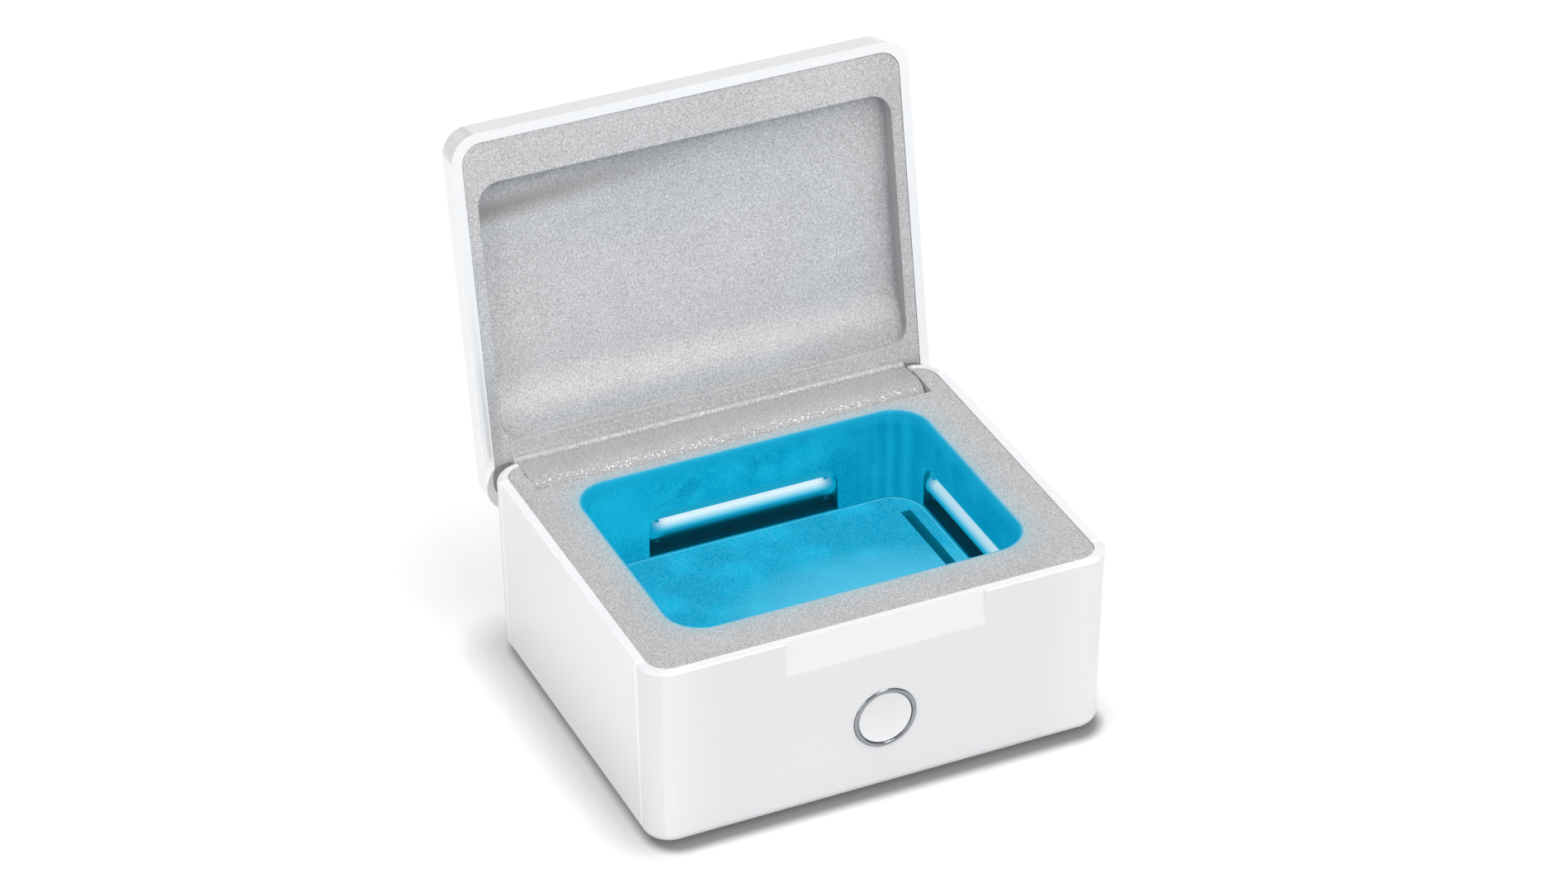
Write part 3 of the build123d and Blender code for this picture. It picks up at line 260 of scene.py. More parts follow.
def paleFloor(s):
    mesh = bpy.data.meshes.new("floor")
    h, d = s["half"], -s["drop"]
    mesh.from_pydata([(-h, -h, d), (h, -h, d), (h, h, d), (-h, h, d)], [], [(0, 1, 2, 3)])
    floor = bpy.data.objects.new("floor", mesh)
    bpy.context.scene.collection.objects.link(floor)
    g = Graph("palePaper")
    path = g.add("LightPath").socket.node
    seen = Wire(g, path.outputs["Is Camera Ray"]) + Wire(g, path.outputs["Is Glossy Ray"])
    seen = (seen + Wire(g, path.outputs["Is Transmission Ray"])).atMost(1.0)
    # soft contact shade round the foot, in the floor as it is seen and not in the light it gives
    x, y, z = g.millimetres()
    near = g.fall(distanceOut(x, y, s["near"]), *s["nearSpan"])
    wide = g.fall(distanceOut(x, y, s["wide"]), *s["wideSpan"], False)
    shade = near * s["nearShade"] + wide * s["wideShade"]
    mesh.materials.append(g.finish({
        "Base Color": g.blend(shade * seen, s["color"], unlit),
        "Roughness": s["roughness"], "Specular IOR Level": 0.0,
        "Emission Color": g.blend(seen * (1.0 - shade), unlit, (s["lift"],) * 3),
        "Emission Strength": 1.0,
    }))


studioLight(lightSettings)
paleFloor(floorSettings)
print("floor and light set")


# ---- glossy white casing and lid

glossSettings = {
    "roughness": 0.11, "smear": 0.02, "smearSpan": (0.35, 0.75), "smearShare": 0.06,
    "coat": 0.4, "coatRoughness": 0.04,
    "peel": 0.0011, "peelBump": 0.008, "peelHeight": 0.00004,
    "cloud": 0.045, "cloudSpan": (0.3, 0.7),
}
casingSettings = {
    "color": (0.845, 0.852, 0.867), "shade": (0.825, 0.833, 0.85), "shadeShare": 0.35,
    "recess": (0.905, 0.91, 0.925), "recessEdge": 0.05,
    "halfWidth": 21.5, "foot": 33.8, "front": -40.15,
    "cornerX": 44.1, "cornerY": 35.2, "round": (0.79, 0.80, 0.815), "roundShare": 0.9,
    "roundX": (0.0, 0.3), "roundY": (-0.1, 0.2), "roundFade": (0.5, 5.2),
    "line": (0.98, 0.98, 0.985), "lineEdge": (4.0, 4.3),
    "sideLine": -0.9, "sideWidth": (0.25, 0.6),
    "frontFade": (2.2, 3.2), "frontRise": (-11.0, 2.0), "frontShare": 0.5,
}
lidSettings = {
    "color": (0.90, 0.90, 0.905), "shade": (0.885, 0.887, 0.893),
    "outside": (0.815, 0.822, 0.837), "outsideTurn": (0.5, 0.9), "frontTurn": (0.2, 0.7),
    "reliefX": (44.0, 46.0), "relief": (3.5, 6.5), "reliefGlow": (0.10, 0.10, 0.103),
    "cornerX": 44.1, "cornerAlong": 70.9, "round": (0.66, 0.665, 0.68),
    "band": 0.0035, "bandSpan": (0.35, 0.6),
    "dimStreak": (0.60, 0.605, 0.62), "streakX": 48.5, "streakLean": 0.012, "streakShare": 0.75,
    "streakWidth": (0.1, 0.8), "streakFoot": (6.0, 8.5), "streakFade": (12.0, 44.0),
}
# the hinge's axis, and the lid's lean when it stands open
hingeSettings = {"y": 35.75, "z": 35.77, "lean": math.radians(9.8)}


def alongLid(y, z, s):
    # place along the open lid, from the hinge
    return (y - s["y"]) * math.sin(s["lean"]) + (z - s["z"]) * math.cos(s["lean"])


def glossy(g, s, sockets):
    smear = g.step(g.noise(s["smear"], 3.0), *s["smearSpan"])
    return g.finish({
        "Roughness": s["roughness"] + smear * s["smearShare"],
        "Coat Weight": s["coat"], "Coat Roughness": s["coatRoughness"],
        "Normal": g.bump(g.noise(s["peel"], 2.0), s["peelBump"], s["peelHeight"]),
        **sockets,
    })


def casingWhite(name, s, gloss):
    g = Graph(name)
    x, y, z = g.millimetres()
    cloud = g.step(g.noise(gloss["cloud"], 2.0), *gloss["cloudSpan"])
    color = g.blend(cloud * s["shadeShare"], s["color"], s["shade"])
    # painted light: the finger recess, turned a little upwards, is painted a little lighter than
    # the face round it
    edge = s["recessEdge"]
    recess = g.fall(abs(x), s["halfWidth"] - edge, s["halfWidth"] + edge)
    recess = recess * g.step(z, s["foot"] - edge, s["foot"] + 2 * edge)
    recess = recess * g.fall(y, s["front"] - edge, s["front"] + edge)
    color = g.blend(recess, color, s["recess"])
    # painted reflection and highlights: each upright corner has a darker round between two painted
    # light lines
    over, along = abs(x) - s["cornerX"], abs(y) - s["cornerY"]
    corner = g.step(over, *s["roundX"]) * g.step(along, *s["roundY"])
    corner = corner * g.fall(along, *s["roundFade"])
    frontLine = g.step(along, *s["lineEdge"]) * g.fall(over, *s["frontFade"])
    frontLine = frontLine * g.step(over, *s["frontRise"])
    sideLine = g.step(over, *s["lineEdge"]) * g.fall(abs(along - s["sideLine"]), *s["sideWidth"])
    color = g.blend(corner * s["roundShare"], color, s["round"])
    color = g.blend(frontLine * s["frontShare"], color, s["line"])
    return glossy(g, gloss, {"Base Color": g.blend(sideLine, color, s["line"])})


def lidWhite(name, s, h, gloss):
    g = Graph(name)
    x, y, z = g.millimetres()
    far = alongLid(y, z, h)
    cloud = g.step(g.noise(gloss["cloud"], 2.0), *gloss["cloudSpan"])
    color = g.blend(cloud, s["color"], s["shade"])
    # painted shade: faces turned away from the front are painted darker than those turned to it
    color = g.blend(g.step(g.facing(1), *s["outsideTurn"]), color, s["outside"])
    front = g.step(abs(g.facing(1)), *s["frontTurn"])
    inner = g.step(0.0 - g.facing(1), *s["frontTurn"])
    # the outer rounds mirror something darker, in soft upright bands
    corner = g.step(abs(x) - s["cornerX"], 0.0, 1.0) * g.step(far - s["cornerAlong"], 0.0, 1.0)
    bands = g.step(g.noise(s["band"], 1.0, 0.5, (1.0, 0.0, 1.0)), *s["bandSpan"])
    color = g.blend(corner * (1.0 - front) * (bands * 0.5 + 0.5), color, s["round"])
    # painted reflection: a soft grey streak runs up the left rim
    dimStreak = g.fall(abs(x + s["streakX"] + far * s["streakLean"]), *s["streakWidth"])
    dimStreak = dimStreak * g.step(far, *s["streakFoot"]) * inner
    dimStreak = dimStreak * g.fall(far, *s["streakFade"], False) * s["streakShare"]
    color = g.blend(dimStreak, color, s["dimStreak"])
    # the swept corner by the hinge catches light thrown back by the base
    near = g.step(abs(x), *s["reliefX"]) * g.fall(far, *s["relief"])
    return glossy(g, gloss, {
        "Base Color": color,
        "Emission Color": g.blend(near * inner, unlit, s["reliefGlow"]),
        "Emission Strength": 1.0,
    })


dress(casingWhite("casingWhite", casingSettings, glossSettings), "base_shell")
dress(lidWhite("lidWhite", lidSettings, hingeSettings, glossSettings), "lid_shell")


# ---- silver grey plastic with a fine sparkle, and the painted glow of the lamps' light in the chamber

silverSettings = {
    "dark": (0.405, 0.401, 0.405), "mid": (0.56, 0.556, 0.561), "light": (0.765, 0.76, 0.766),
    "stops": (0.32, 0.5, 0.72), "grain": 0.00036, "cloud": 0.012, "cloudShare": 0.12,
    "fleck": 0.00026, "fleckSpan": (0.86, 0.98), "sparkShare": 0.55,
    "roughness": 0.5, "sparkRoughness": 0.2, "sparkMetal": 0.4,
    "bump": 0.25, "bumpHeight": 0.00006,
}
pocketSettings = {
    "halfWidth": 45.4, "halfLength": 28.05, "middle": 37.8, "across": 0.0, "corner": 4.8,
    "barrel": (0.75, 0.75, 0.757), "barrelFade": (5.0, 7.5),
    "shade": (0.262, 0.252, 0.252), "shadeShare": 0.75, "shadeAcross": (-40.0, 8.0),
    "dimStreak": 58.3, "rise": 0.07, "reach": 4.0,
    "topShare": 0.25, "top": (59.0, 65.0), "topAcross": (-35.0, 30.0),
    "inside": (-0.3, 0.0), "shadeInside": (-0.2, 0.1),
    "middleLight": (1.13, 1.08, 1.07), "middleLightFoot": (13.0, 18.0), "middleLightTop": (30.0, 56.0),
    "middleLightAcross": (5.0, 38.0),
    "slope": (0.90, 0.885, 0.885), "slopeAcross": (12.0, 36.0), "slopeTop": (14.0, 18.0),
    "right": (0.92, 0.90, 0.90), "rightAcross": (36.0, 46.0),
    "left": (0.84, 0.825, 0.82), "leftAcross": (-46.6, -45.2), "leftTop": (12.0, 36.0),
    "leftFoot": (5.0, 7.5),
    "wallTurn": (0.4, 0.9), "wallAcross": (30.0, 40.0), "wallShare": 0.4,
    "edgeIn": (-1.0, -0.2), "edgeOut": (0.0, 0.25), "edgeShare": 0.18,
}


def silverColor(g, s):
    grain = g.noise(s["grain"], 2.0, 0.6)
    mixed = grain + (g.noise(s["cloud"], 3.0) - 0.5) * s["cloudShare"]
    base = g.ramp(mixed, *zip(s["stops"], (s["dark"], s["mid"], s["light"])))
    spark = g.step(g.cells(s["fleck"]), *s["fleckSpan"])
    return g.blend(spark * s["sparkShare"], base, s["light"]), grain, spark


def silverPlastic(name, s, p, h):
    g = Graph(name)
    color, grain, spark = silverColor(g, s)
    x, y, z = g.millimetres()
    far = alongLid(y, z, h)
    out = distanceOut(x, far, p)
    # painted shade: the barrel is painted a shade darker than the panel above it
    color = g.tint(g.fall(far, *p["barrelFade"]), color, p["barrel"])
    # painted light and shade: lighter and warmer in the middle of the pocket, darker low down at
    # both sides and towards the right
    inside = g.fall(out, *p["inside"])
    middle = g.step(far, *p["middleLightFoot"]) * g.fall(far, *p["middleLightTop"]) * g.fall(x, *p["middleLightAcross"])
    color = g.tint(inside * middle, color, p["middleLight"])
    slope = g.step(x, *p["slopeAcross"]) * g.fall(far, *p["slopeTop"])
    color = g.tint(inside * slope, color, p["slope"])
    color = g.tint(g.step(x, *p["rightAcross"]), color, p["right"])
    left = g.fall(x, *p["leftAcross"]) * g.fall(far, *p["leftTop"]) * g.step(far, *p["leftFoot"])
    color = g.tint(left, color, p["left"])
    # soft shade under the pocket's top edge, strongest at the left
    dimStreak = abs(far - p["dimStreak"] - (x + p["halfWidth"]) * p["rise"]) / p["reach"]
    shade = g.fall(dimStreak, 0.0, 1.0) * g.fall(x, *p["shadeAcross"], False)
    top = p["topShare"] * g.step(far, *p["top"]) * g.fall(x, *p["topAcross"], False)
    shade = (shade + top).atMost(1.0) * g.fall(out, *p["shadeInside"])
    color = g.blend(shade * p["shadeShare"], color, p["shade"])
    # and on its right wall and along its edge
    wall = g.step(0.0 - g.facing(0), *p["wallTurn"]) * g.step(x, *p["wallAcross"])
    edge = g.step(out, *p["edgeIn"]) * g.fall(out, *p["edgeOut"])
    dim = (wall * p["wallShare"] + edge * p["edgeShare"]).atMost(1.0)
    return g.finish({
        "Base Color": g.blend(dim, color, p["shade"]),
        "Roughness": s["roughness"] - spark * s["sparkRoughness"],
        "Metallic": spark * s["sparkMetal"],
        "Normal": g.bump(grain, s["bump"], s["bumpHeight"]),
    })


chamberSettings = {
    "halfWidth": 37.8, "halfLength": 27.4, "middle": -1.2, "across": 0.0, "corner": 7.2,
    "top": 41.3, "floor": 20.4, "deck": (0.845, 0.838, 0.84), "deep": (0.25, 0.95),
    # the painted glow on the walls, standing in for the lamps' light
    "glow": (0.0, 0.27, 0.47), "glowLight": (0.008, 0.39, 0.62), "glowDark": (0.0, 0.19, 0.35),
    "glint": (0.014, 0.50, 0.72), "glintSize": 0.0006, "glintSpan": (0.42, 0.62),
    "glintShare": 0.32, "glintRight": 0.2,
    "patch": 0.013, "patchSpan": (0.4, 0.68),
    "left": (-30.0, 0.0), "leftShare": 0.5, "right": (8.0, 30.0), "rightShare": 0.5,
    "low": 9.0, "lowShare": 0.4,
    "bandX": (24.0, 33.0), "bandY": (8.0, 18.0), "bandShare": 0.45,
    "bandScale": 110.0, "bandDistortion": 1.2,
    "browX": (-37.0, -27.0), "browDepth": (8.0, 1.5), "browShare": 0.5,
    "seamX": 30.4, "seamWidth": (0.1, 0.35), "seamY": (20.0, 24.0), "seamShare": 0.35,
    "shadePatch": 0.009, "shadePatchSpan": (0.50, 0.66), "shadePatchRise": (8.0, 14.0), "shadePatchShare": 0.6,
    # cut faces round the lamp windows and under the floor, painted in dark teal shade with a
    # dimmer painted glow
    "cutEdge": (0.03, 0.2), "cutEnd": (2.4, 2.8), "cutTop": (5.0, 4.0), "under": 1.0,
    "cutFoot": (0.0, 0.018, 0.03), "cutUnder": (0.0, 0.085, 0.14), "cutHead": (0.0, 0.16, 0.27),
    "cutBase": (0.0, 0.03, 0.05),
    # the halo on the deck, and the lip that it fades into
    "haloRoot": 2.718, "haloFade": 0.5, "haloDepth": (1.2, 0.1), "haloShare": 0.5,
    "haloGlow": (0.0, 0.08, 0.12), "haloBase": (0.13, 0.50, 0.62),
    "lip": (0.5, 1.2), "lipDepth": (3.5, 1.0), "lipShare": 0.55, "lipGlow": (0.0, 0.25, 0.42),
    "lipBaseShare": 0.45, "lipBase": (0.02, 0.20, 0.28), "wallBase": (0.0, 0.05, 0.08),
    "specular": 0.06,
}


def glowPattern(g, s, x, y, z):
    # painted light: a glow standing in for the lamps' light, lighter to the left and darker to the
    # right and low down
    foot = s["floor"]
    right = g.step(x, *s["right"])
    patch = g.step(g.noise(s["patch"], 2.0, 0.5), *s["patchSpan"])
    tone = g.blend(patch, s["glow"], s["glowLight"])
    tone = g.blend(g.fall(x, *s["left"]) * s["leftShare"], tone, s["glowLight"])
    tone = g.blend(right * s["rightShare"], tone, s["glowDark"])
    tone = g.blend(g.fall(z, foot, foot + s["low"]) * s["lowShare"], tone, s["glowDark"])
    # painted reflection: light upright bands in the rear right corner
    bands = g.add("TexWave", {"wave_type": "BANDS", "bands_direction": "X"}, {
        "Vector": g.place(), "Scale": s["bandScale"], "Distortion": s["bandDistortion"],
        "Detail": 1.0,
    })
    corner = g.step(x, *s["bandX"]) * g.step(y, *s["bandY"])
    tone = g.blend(bands * corner * s["bandShare"], tone, s["glowLight"])
    # painted shade: darker at the top left, along a seam and in patches high up
    brow = g.fall(x, *s["browX"]) * g.step(z, *(s["top"] - depth for depth in s["browDepth"]))
    tone = g.blend(brow * s["browShare"], tone, s["glowDark"])
    seam = g.fall(abs(x - s["seamX"]), *s["seamWidth"]) * g.step(y, *s["seamY"])
    tone = g.blend(seam * s["seamShare"], tone, s["glowDark"])
    high = g.step(z, *(foot + rise for rise in s["shadePatchRise"]))
    shadePatch = g.step(g.noise(s["shadePatch"], 2.0, 0.5), *s["shadePatchSpan"]) * high
    tone = g.blend(shadePatch * s["shadePatchShare"], tone, s["glowDark"])
    glint = g.step(g.noise(s["glintSize"], 2.0, 0.7), *s["glintSpan"])
    return g.blend(glint * (s["glintShare"] - right * s["glintRight"]), tone, s["glint"])


def linerPlastic(name, s, c):
    g = Graph(name)
    silver, grain, spark = silverColor(g, s)
    x, y, z = g.millimetres()
    out = distanceOut(x, y, c)
    top, foot = c["top"], c["floor"]
    deep = g.fall(out, *c["deep"])
    edge = g.step(out, *c["cutEdge"])
    under = g.fall(z, foot - c["under"], foot) * edge
    cut = edge * g.fall(z, *(top - depth for depth in c["cutTop"]))
    cut = (cut * g.fall(out, *c["cutEnd"])).atLeast(under)
    halo = c["haloRoot"] ** (-(out.atLeast(0.0)) * c["haloFade"])
    halo = halo * g.step(z, *(top - depth for depth in c["haloDepth"]))
    halo = halo * (1.0 - deep) * c["haloShare"]
    lip = g.fall(out, *c["lip"]) * g.step(z, *(top - depth for depth in c["lipDepth"]))
    # painted light and shade: inside the chamber the walls are painted dark teal with a painted
    # glow standing in for the lamps' light, and the cut faces get a dimmer painted glow
    dim = g.blend(under, c["cutFoot"], c["cutUnder"])
    dim = g.blend(g.step(z, foot, foot + c["low"]), dim, c["cutHead"])
    lit = g.blend(deep, unlit, glowPattern(g, c, x, y, z))
    lit = g.blend(cut, lit, dim)
    lit = g.blend(halo, lit, c["haloGlow"])
    lit = g.blend(lip * c["lipShare"], lit, c["lipGlow"])
    base = g.blend(deep, g.tint(1.0, silver, c["deck"]), c["wallBase"])
    base = g.blend(halo, base, c["haloBase"])
    base = g.blend(lip * c["lipBaseShare"], base, c["lipBase"])
    base = g.blend(cut, base, c["cutBase"])
    return g.finish({
        "Base Color": base,
        "Roughness": s["roughness"] - spark * s["sparkRoughness"],
        "Metallic": spark * (1.0 - deep) * s["sparkMetal"],
        "Emission Color": lit, "Emission Strength": 1.0, "Specular IOR Level": c["specular"],
        "Normal": g.bump(grain, s["bump"], s["bumpHeight"]),
    })


plateSettings = {
    "glow": (0.0, 0.285, 0.49), "glowLight": (0.004, 0.39, 0.63), "patch": 0.011,
    "patchSpan": (0.38, 0.66),
    "heart": (0.085, 0.48, 0.70), "heartX": 12.0, "heartY": -8.0, "heartWide": 1100.0,
    "heartDeep": 420.0,
    "glint": (0.10, 0.54, 0.75), "glintSize": 0.00038, "glintSpan": (0.42, 0.62),
    "glintShare": 0.38,
    "line": (0.10, 0.52, 0.74), "lineIn": (-0.75, -0.55), "lineOut": (-0.5, -0.35),
    "rim": (0.0, 0.16, 0.28), "rimSpan": (-0.4, -0.2),
    "side": (0.0, 0.105, 0.17), "sideDepth": (0.4, 0.05),
    "base": (0.0, 0.05, 0.08), "roughness": 0.4, "grainRoughness": 0.1, "specular": 0.04,
    "bump": 0.2, "bumpHeight": 0.00006,
}


def platePlastic(name, s, c):
    g = Graph(name)
    x, y, z = g.millimetres()
    out = distanceOut(x, y, c)
    # painted light: the plate is painted dark, with a painted glow standing in for the lamps'
    # light on it
    fine = g.noise(s["glintSize"], 3.0, 0.8)
    patch = g.step(g.noise(s["patch"], 2.0, 0.5), *s["patchSpan"])
    tone = g.blend(patch, s["glow"], s["glowLight"])
    # painted pool of light, lighter round one place
    over, along = x - s["heartX"], y - s["heartY"]
    heart = ((over * over) / s["heartWide"] + (along * along) / s["heartDeep"]).atMost(1.0)
    tone = g.blend(1.0 - heart, tone, s["heart"])
    tone = g.blend(g.step(fine, *s["glintSpan"]) * s["glintShare"], tone, s["glint"])
    # painted highlight: a light line near the edge; painted shade: a dark edge and side
    tone = g.blend(g.step(out, *s["lineIn"]) * g.fall(out, *s["lineOut"]), tone, s["line"])
    tone = g.blend(g.step(out, *s["rimSpan"]), tone, s["rim"])
    side = g.fall(z, *(c["floor"] - depth for depth in s["sideDepth"]))
    return g.finish({
        "Base Color": s["base"], "Roughness": s["roughness"] + fine * s["grainRoughness"],
        "Specular IOR Level": s["specular"],
        "Emission Color": g.blend(side, tone, s["side"]), "Emission Strength": 1.0,
        "Normal": g.bump(fine, s["bump"], s["bumpHeight"]),
    })


dress(silverPlastic("lidSilver", silverSettings, pocketSettings, hingeSettings), "lid_liner")
dress(linerPlastic("linerSilver", silverSettings, chamberSettings), "chamber_liner")
dress(platePlastic("plateSilver", plateSettings, chamberSettings), "floor_plate")
print("casing, liner and plate dressed")


# ---- lamps: painted bright above and dark teal below, with painted light on their troughs and holders

lampSettings = {
    "height": 25.8, "radius": 2.2, "rearMiddle": 28.45, "sideMiddle": 40.05, "lean": 0.57,
    "half": 20.7, "sideCentre": -1.2, "split": (6.0, 6.2),
}
glassSettings = {
    "tube": ((0.0, (0.0, 0.06, 0.10)), (0.11, (0.0, 0.16, 0.27)), (0.25, (0.001, 0.34, 0.57)),
             (0.36, (0.12, 0.54, 0.75)), (0.50, (0.42, 0.73, 0.86)), (0.64, (0.67, 0.86, 0.93)),
             (0.77, (0.71, 0.88, 0.94)), (0.90, (0.46, 0.74, 0.86)), (1.0, (0.10, 0.47, 0.69))),
    "end": (0.0, 0.31, 0.52), "endFade": (4.0, 0.3),
    "side": (34.0, 36.0), "sideTone": (0.0, 0.33, 0.56), "sideShare": 0.3,
    "base": (0.01, 0.03, 0.04), "roughness": 0.12, "haze": 0.004, "hazeShare": 0.05,
    "specular": 0.15,
}
troughSettings = {
    "tones": ((0.0, (0.0, 0.018, 0.03)), (0.50, (0.0, 0.020, 0.033)), (0.70, (0.0, 0.035, 0.055)),
              (0.82, (0.0, 0.08, 0.13)), (0.92, (0.0, 0.17, 0.29)), (1.0, (0.01, 0.36, 0.57))),
    "depth": -6.0, "rise": 0.6, "mist": 0.0006, "mistShare": 0.08, "mistMiddle": 0.04,
    "base": (0.004, 0.012, 0.018), "roughness": 0.5, "grain": 0.002, "grainShare": 0.2,
    "specular": 0.1,
}
holderSettings = {
    "dark": (0.0, 0.02, 0.035), "light": (0.0, 0.04, 0.07), "grain": 0.0006,
    "top": (0.0, 0.25, 0.43), "topSpan": (-2.6, 0.6),
    "base": (0.01, 0.03, 0.05), "roughness": 0.35, "bump": 0.1, "bumpHeight": 0.00003,
}


def acrossLamp(g, s):
    # place across the nearer lamp, along a line that leans away from the chamber
    x, y, z = g.millimetres()
    side = g.step(x - y, *s["split"])
    away = (x - s["sideMiddle"]) * side + (y - s["rearMiddle"]) * (1.0 - side)
    return (z - s["height"]) * math.cos(s["lean"]) + away * math.sin(s["lean"])


def lampGlass(name, s, lamp):
    g = Graph(name)
    across = acrossLamp(g, lamp) / (2.0 * lamp["radius"]) + 0.5
    x, y, z = g.millimetres()
    # the light fades towards both ends and is weaker on the right
    side = g.step(x, *s["side"])
    ends = abs(x) * (1.0 - side) + abs(y - lamp["sideCentre"]) * side
    fade = g.step(ends, *(lamp["half"] - reach for reach in s["endFade"]))
    # painted highlight and shade: the tube is painted bright above and dark teal below
    tone = g.blend(fade, g.ramp(across, *s["tube"]), s["end"])
    return g.finish({
        "Base Color": s["base"], "Roughness": s["roughness"] + g.noise(s["haze"]) * s["hazeShare"],
        "Specular IOR Level": s["specular"],
        "Emission Color": g.blend(side * s["sideShare"], tone, s["sideTone"]),
        "Emission Strength": 1.0,
    })


def shadedTrough(name, s, lamp):
    g = Graph(name)
    # painted light and shade: the trough is painted dark, with a painted glow rising towards the
    # lamp
    lit = g.step(acrossLamp(g, lamp), s["depth"], s["rise"] - lamp["radius"], False)
    mist = g.noise(s["mist"], 2.0) * s["mistShare"]
    return g.finish({
        "Base Color": s["base"],
        "Roughness": s["roughness"] + g.noise(s["grain"]) * s["grainShare"],
        "Specular IOR Level": s["specular"],
        "Emission Color": g.ramp(lit - s["mistMiddle"] + mist, *s["tones"]),
        "Emission Strength": 1.0,
    })


def holderPlastic(name, s, lamp):
    g = Graph(name)
    grain = g.noise(s["grain"])
    x, y, z = g.millimetres()
    # painted light: the holders glow with the lamps' light, brightest at the top
    high = g.step(z, *(lamp["height"] + rise for rise in s["topSpan"]))
    return g.finish({
        "Base Color": s["base"], "Roughness": s["roughness"],
        "Emission Color": g.blend(high, g.blend(grain, s["dark"], s["light"]), s["top"]),
        "Emission Strength": 1.0, "Normal": g.bump(grain, s["bump"], s["bumpHeight"]),
    })


dress(lampGlass("lampGlass", glassSettings, lampSettings), "rear_lamp_tube", "side_lamp_tube")
dress(shadedTrough("troughShadeAndGlow", troughSettings, lampSettings),
      "rear_lamp_trough", "side_lamp_trough")
dress(holderPlastic("holderPlastic", holderSettings, lampSettings),
      "rear_lamp_holders", "side_lamp_holders")
print("lamps dressed")


# ---- metals

metalSettings = {
    "ringChrome": {"color": (0.27, 0.285, 0.30), "roughness": 0.1, "grain": 0.0002},
    # painted light: the lamp caps glow with the lamps' light
    "lampMetal": {"color": (0.01, 0.05, 0.07), "roughness": 0.5, "grain": 0.0002,
                  "glow": (0.0, 0.27, 0.46)},
    "screwSteel": {"color": (0.48, 0.48, 0.50), "roughness": 0.32, "grain": 0.0003},
    "pinSteel": {"color": (0.60, 0.60, 0.61), "roughness": 0.22, "grain": 0.0002},
    "capacitorCan": {"color": (0.55, 0.56, 0.58), "roughness": 0.35, "grain": 0.0004},
    "motorCopper": {"color": (0.62, 0.30, 0.16), "roughness": 0.4, "grain": 0.0003},
    "finAluminium": {"color": (0.62, 0.63, 0.64), "roughness": 0.35, "grain": 0.0004},
    "magnetNickel": {"color": (0.55, 0.55, 0.54), "roughness": 0.2, "grain": 0.0003},
}
metalNodes = {
    "ringChrome": ["button_ring"],
    "lampMetal": ["rear_lamp_caps", "side_lamp_caps"],
    "screwSteel": ["case_screws", "board_screws", "fan_screws"],
    "pinSteel": ["hinge_pins", "jack_pin"],
    "capacitorCan": ["board_capacitors"],
    "motorCopper": ["fan_motor"],
    "finAluminium": ["heater_fins"],
    "magnetNickel": ["base_magnets", "lid_magnets"],
}
turnedSettings = {
    "stretch": (1, 1, 6), "grainShare": 0.08, "bump": 0.06, "bumpHeight": 0.00002,
    "stain": 0.003, "stainSpan": (0.4, 0.8), "stainShare": 0.4, "dull": 0.8,
}


def turnedMetal(name, s, turned):
    g = Graph(name)
    grain = g.noise(s["grain"], 3.0, 0.6, turned["stretch"])
    stain = g.step(g.noise(turned["stain"], 2.0), *turned["stainSpan"]) * turned["stainShare"]
    dull = tuple(turned["dull"] * part for part in s["color"])
    return g.finish({
        "Base Color": g.blend(stain, s["color"], dull), "Metallic": 1.0,
        "Roughness": s["roughness"] + grain * turned["grainShare"],
        "Emission Color": s.get("glow", unlit), "Emission Strength": 1.0,
        "Normal": g.bump(grain, turned["bump"], turned["bumpHeight"]),
    })


for finishName, names in metalNodes.items():
    dress(turnedMetal(finishName, metalSettings[finishName], turnedSettings), *names)


# ---- plain mouldings, rubber, boards and ceramic

mouldSettings = {
    "buttonWhite": {"color": (0.90, 0.905, 0.92), "shade": (0.87, 0.875, 0.89),
                    "roughness": 0.12, "grain": 0.0012, "bump": 0.02},
    "footRubber": {"color": (0.045, 0.045, 0.05), "shade": (0.075, 0.075, 0.08),
                   "roughness": 0.8, "grain": 0.0006, "bump": 0.4},
    "boardGreen": {"color": (0.02, 0.13, 0.06), "shade": (0.03, 0.19, 0.08),
                   "roughness": 0.35, "grain": 0.002, "bump": 0.1},
    "partsBlack": {"color": (0.02, 0.02, 0.024), "shade": (0.035, 0.035, 0.04),
                   "roughness": 0.45, "grain": 0.0005, "bump": 0.2},
    "fanBlack": {"color": (0.025, 0.025, 0.03), "shade": (0.045, 0.045, 0.05),
                 "roughness": 0.4, "grain": 0.0005, "bump": 0.2},
    # painted light: the duct is given a faint teal glow
    "ductGrey": {"color": (0.22, 0.22, 0.23), "shade": (0.28, 0.28, 0.29),
                 "roughness": 0.55, "grain": 0.0005, "bump": 0.3, "glow": (0.0, 0.06, 0.10)},
    "heaterCeramic": {"color": (0.72, 0.69, 0.62), "shade": (0.62, 0.59, 0.53),
                      "roughness": 0.75, "grain": 0.0004, "bump": 0.4},
    "plungerBlack": {"color": (0.03, 0.03, 0.035), "shade": (0.05, 0.05, 0.055),
                     "roughness": 0.4, "grain": 0.0005, "bump": 0.2},
}
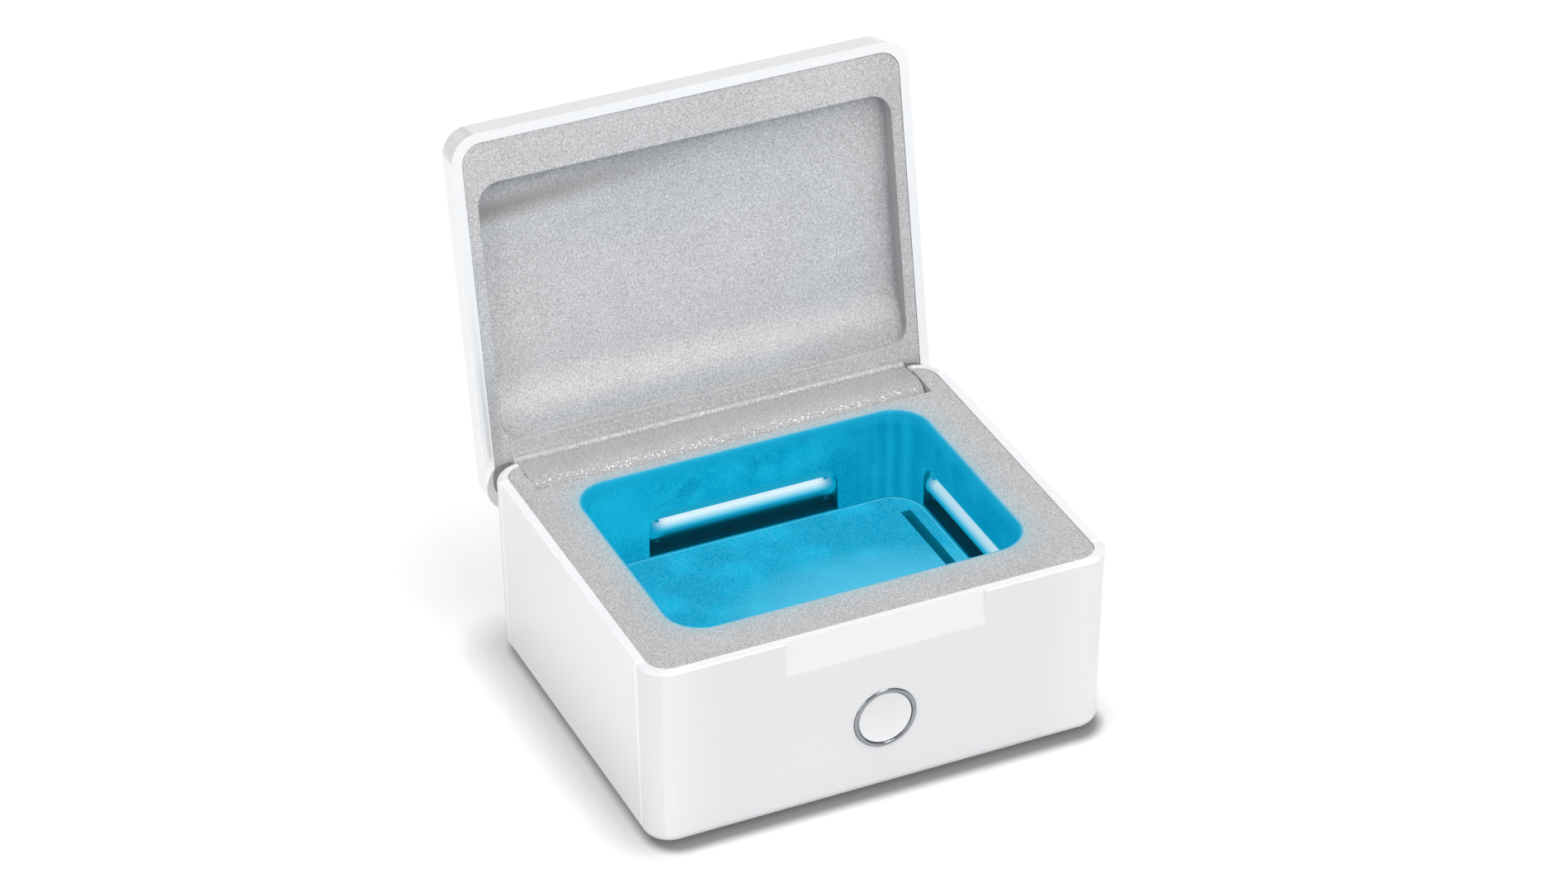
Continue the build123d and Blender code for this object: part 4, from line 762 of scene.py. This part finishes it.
mouldNodes = {
    "buttonWhite": ["button_cap"],
    "footRubber": ["foot_ring"],
    "boardGreen": ["circuit_board", "switch_board"],
    "partsBlack": ["board_parts", "switch_body", "power_jack"],
    "fanBlack": ["fan_frame", "fan_wheel"],
    "ductGrey": ["air_duct"],
    "heaterCeramic": ["heater_bars"],
    "plungerBlack": ["switch_plunger"],
}
coverSettings = {
    "color": (0.74, 0.75, 0.765), "shade": (0.68, 0.69, 0.71), "roughness": 0.5,
    "grain": 0.0004, "bump": 0.3, "height": (2.5, 2.8), "turn": (-0.6, 0.2),
    "inside": (0.03, 0.09, 0.12), "glow": (0.0, 0.11, 0.18), "glowDark": (0.0, 0.075, 0.125),
}
surfaceSettings = {
    "cloudGrains": 14, "cloudSpan": (0.35, 0.7), "roughShare": 0.12, "bumpHeight": 0.00004,
}


def grained(g, s, surface, grain, sockets):
    # one grain moves both roughness and relief
    return g.finish({
        "Roughness": s["roughness"] + (grain - 0.5) * surface["roughShare"],
        "Normal": g.bump(grain, s["bump"], surface["bumpHeight"]),
        "Emission Strength": 1.0,
        **sockets,
    })


def moulded(name, s, surface):
    g = Graph(name)
    grain = g.noise(s["grain"], 3.0, 0.6)
    cloud = g.noise(s["grain"] * surface["cloudGrains"], 2.0)
    return grained(g, s, surface, grain, {
        "Base Color": g.blend(g.step(cloud, *surface["cloudSpan"]), s["color"], s["shade"]),
        "Emission Color": s.get("glow", unlit),
    })


def coverPlastic(name, s, surface):
    g = Graph(name)
    grain = g.noise(s["grain"], 3.0, 0.6)
    x, y, z = g.millimetres()
    # the upper side lies under the chamber's slots and takes their light
    inside = g.step(z, *s["height"]) * g.step(g.facing(2), *s["turn"])
    return grained(g, s, surface, grain, {
        "Base Color": g.blend(inside, g.blend(grain, s["shade"], s["color"]), s["inside"]),
        "Emission Color": g.blend(inside, unlit, g.blend(grain, s["glowDark"], s["glow"])),
    })


for finishName, names in mouldNodes.items():
    dress(moulded(finishName, mouldSettings[finishName], surfaceSettings), *names)
dress(coverPlastic("coverWhite", coverSettings, surfaceSettings), "bottom_cover")
print("metals and mouldings dressed")
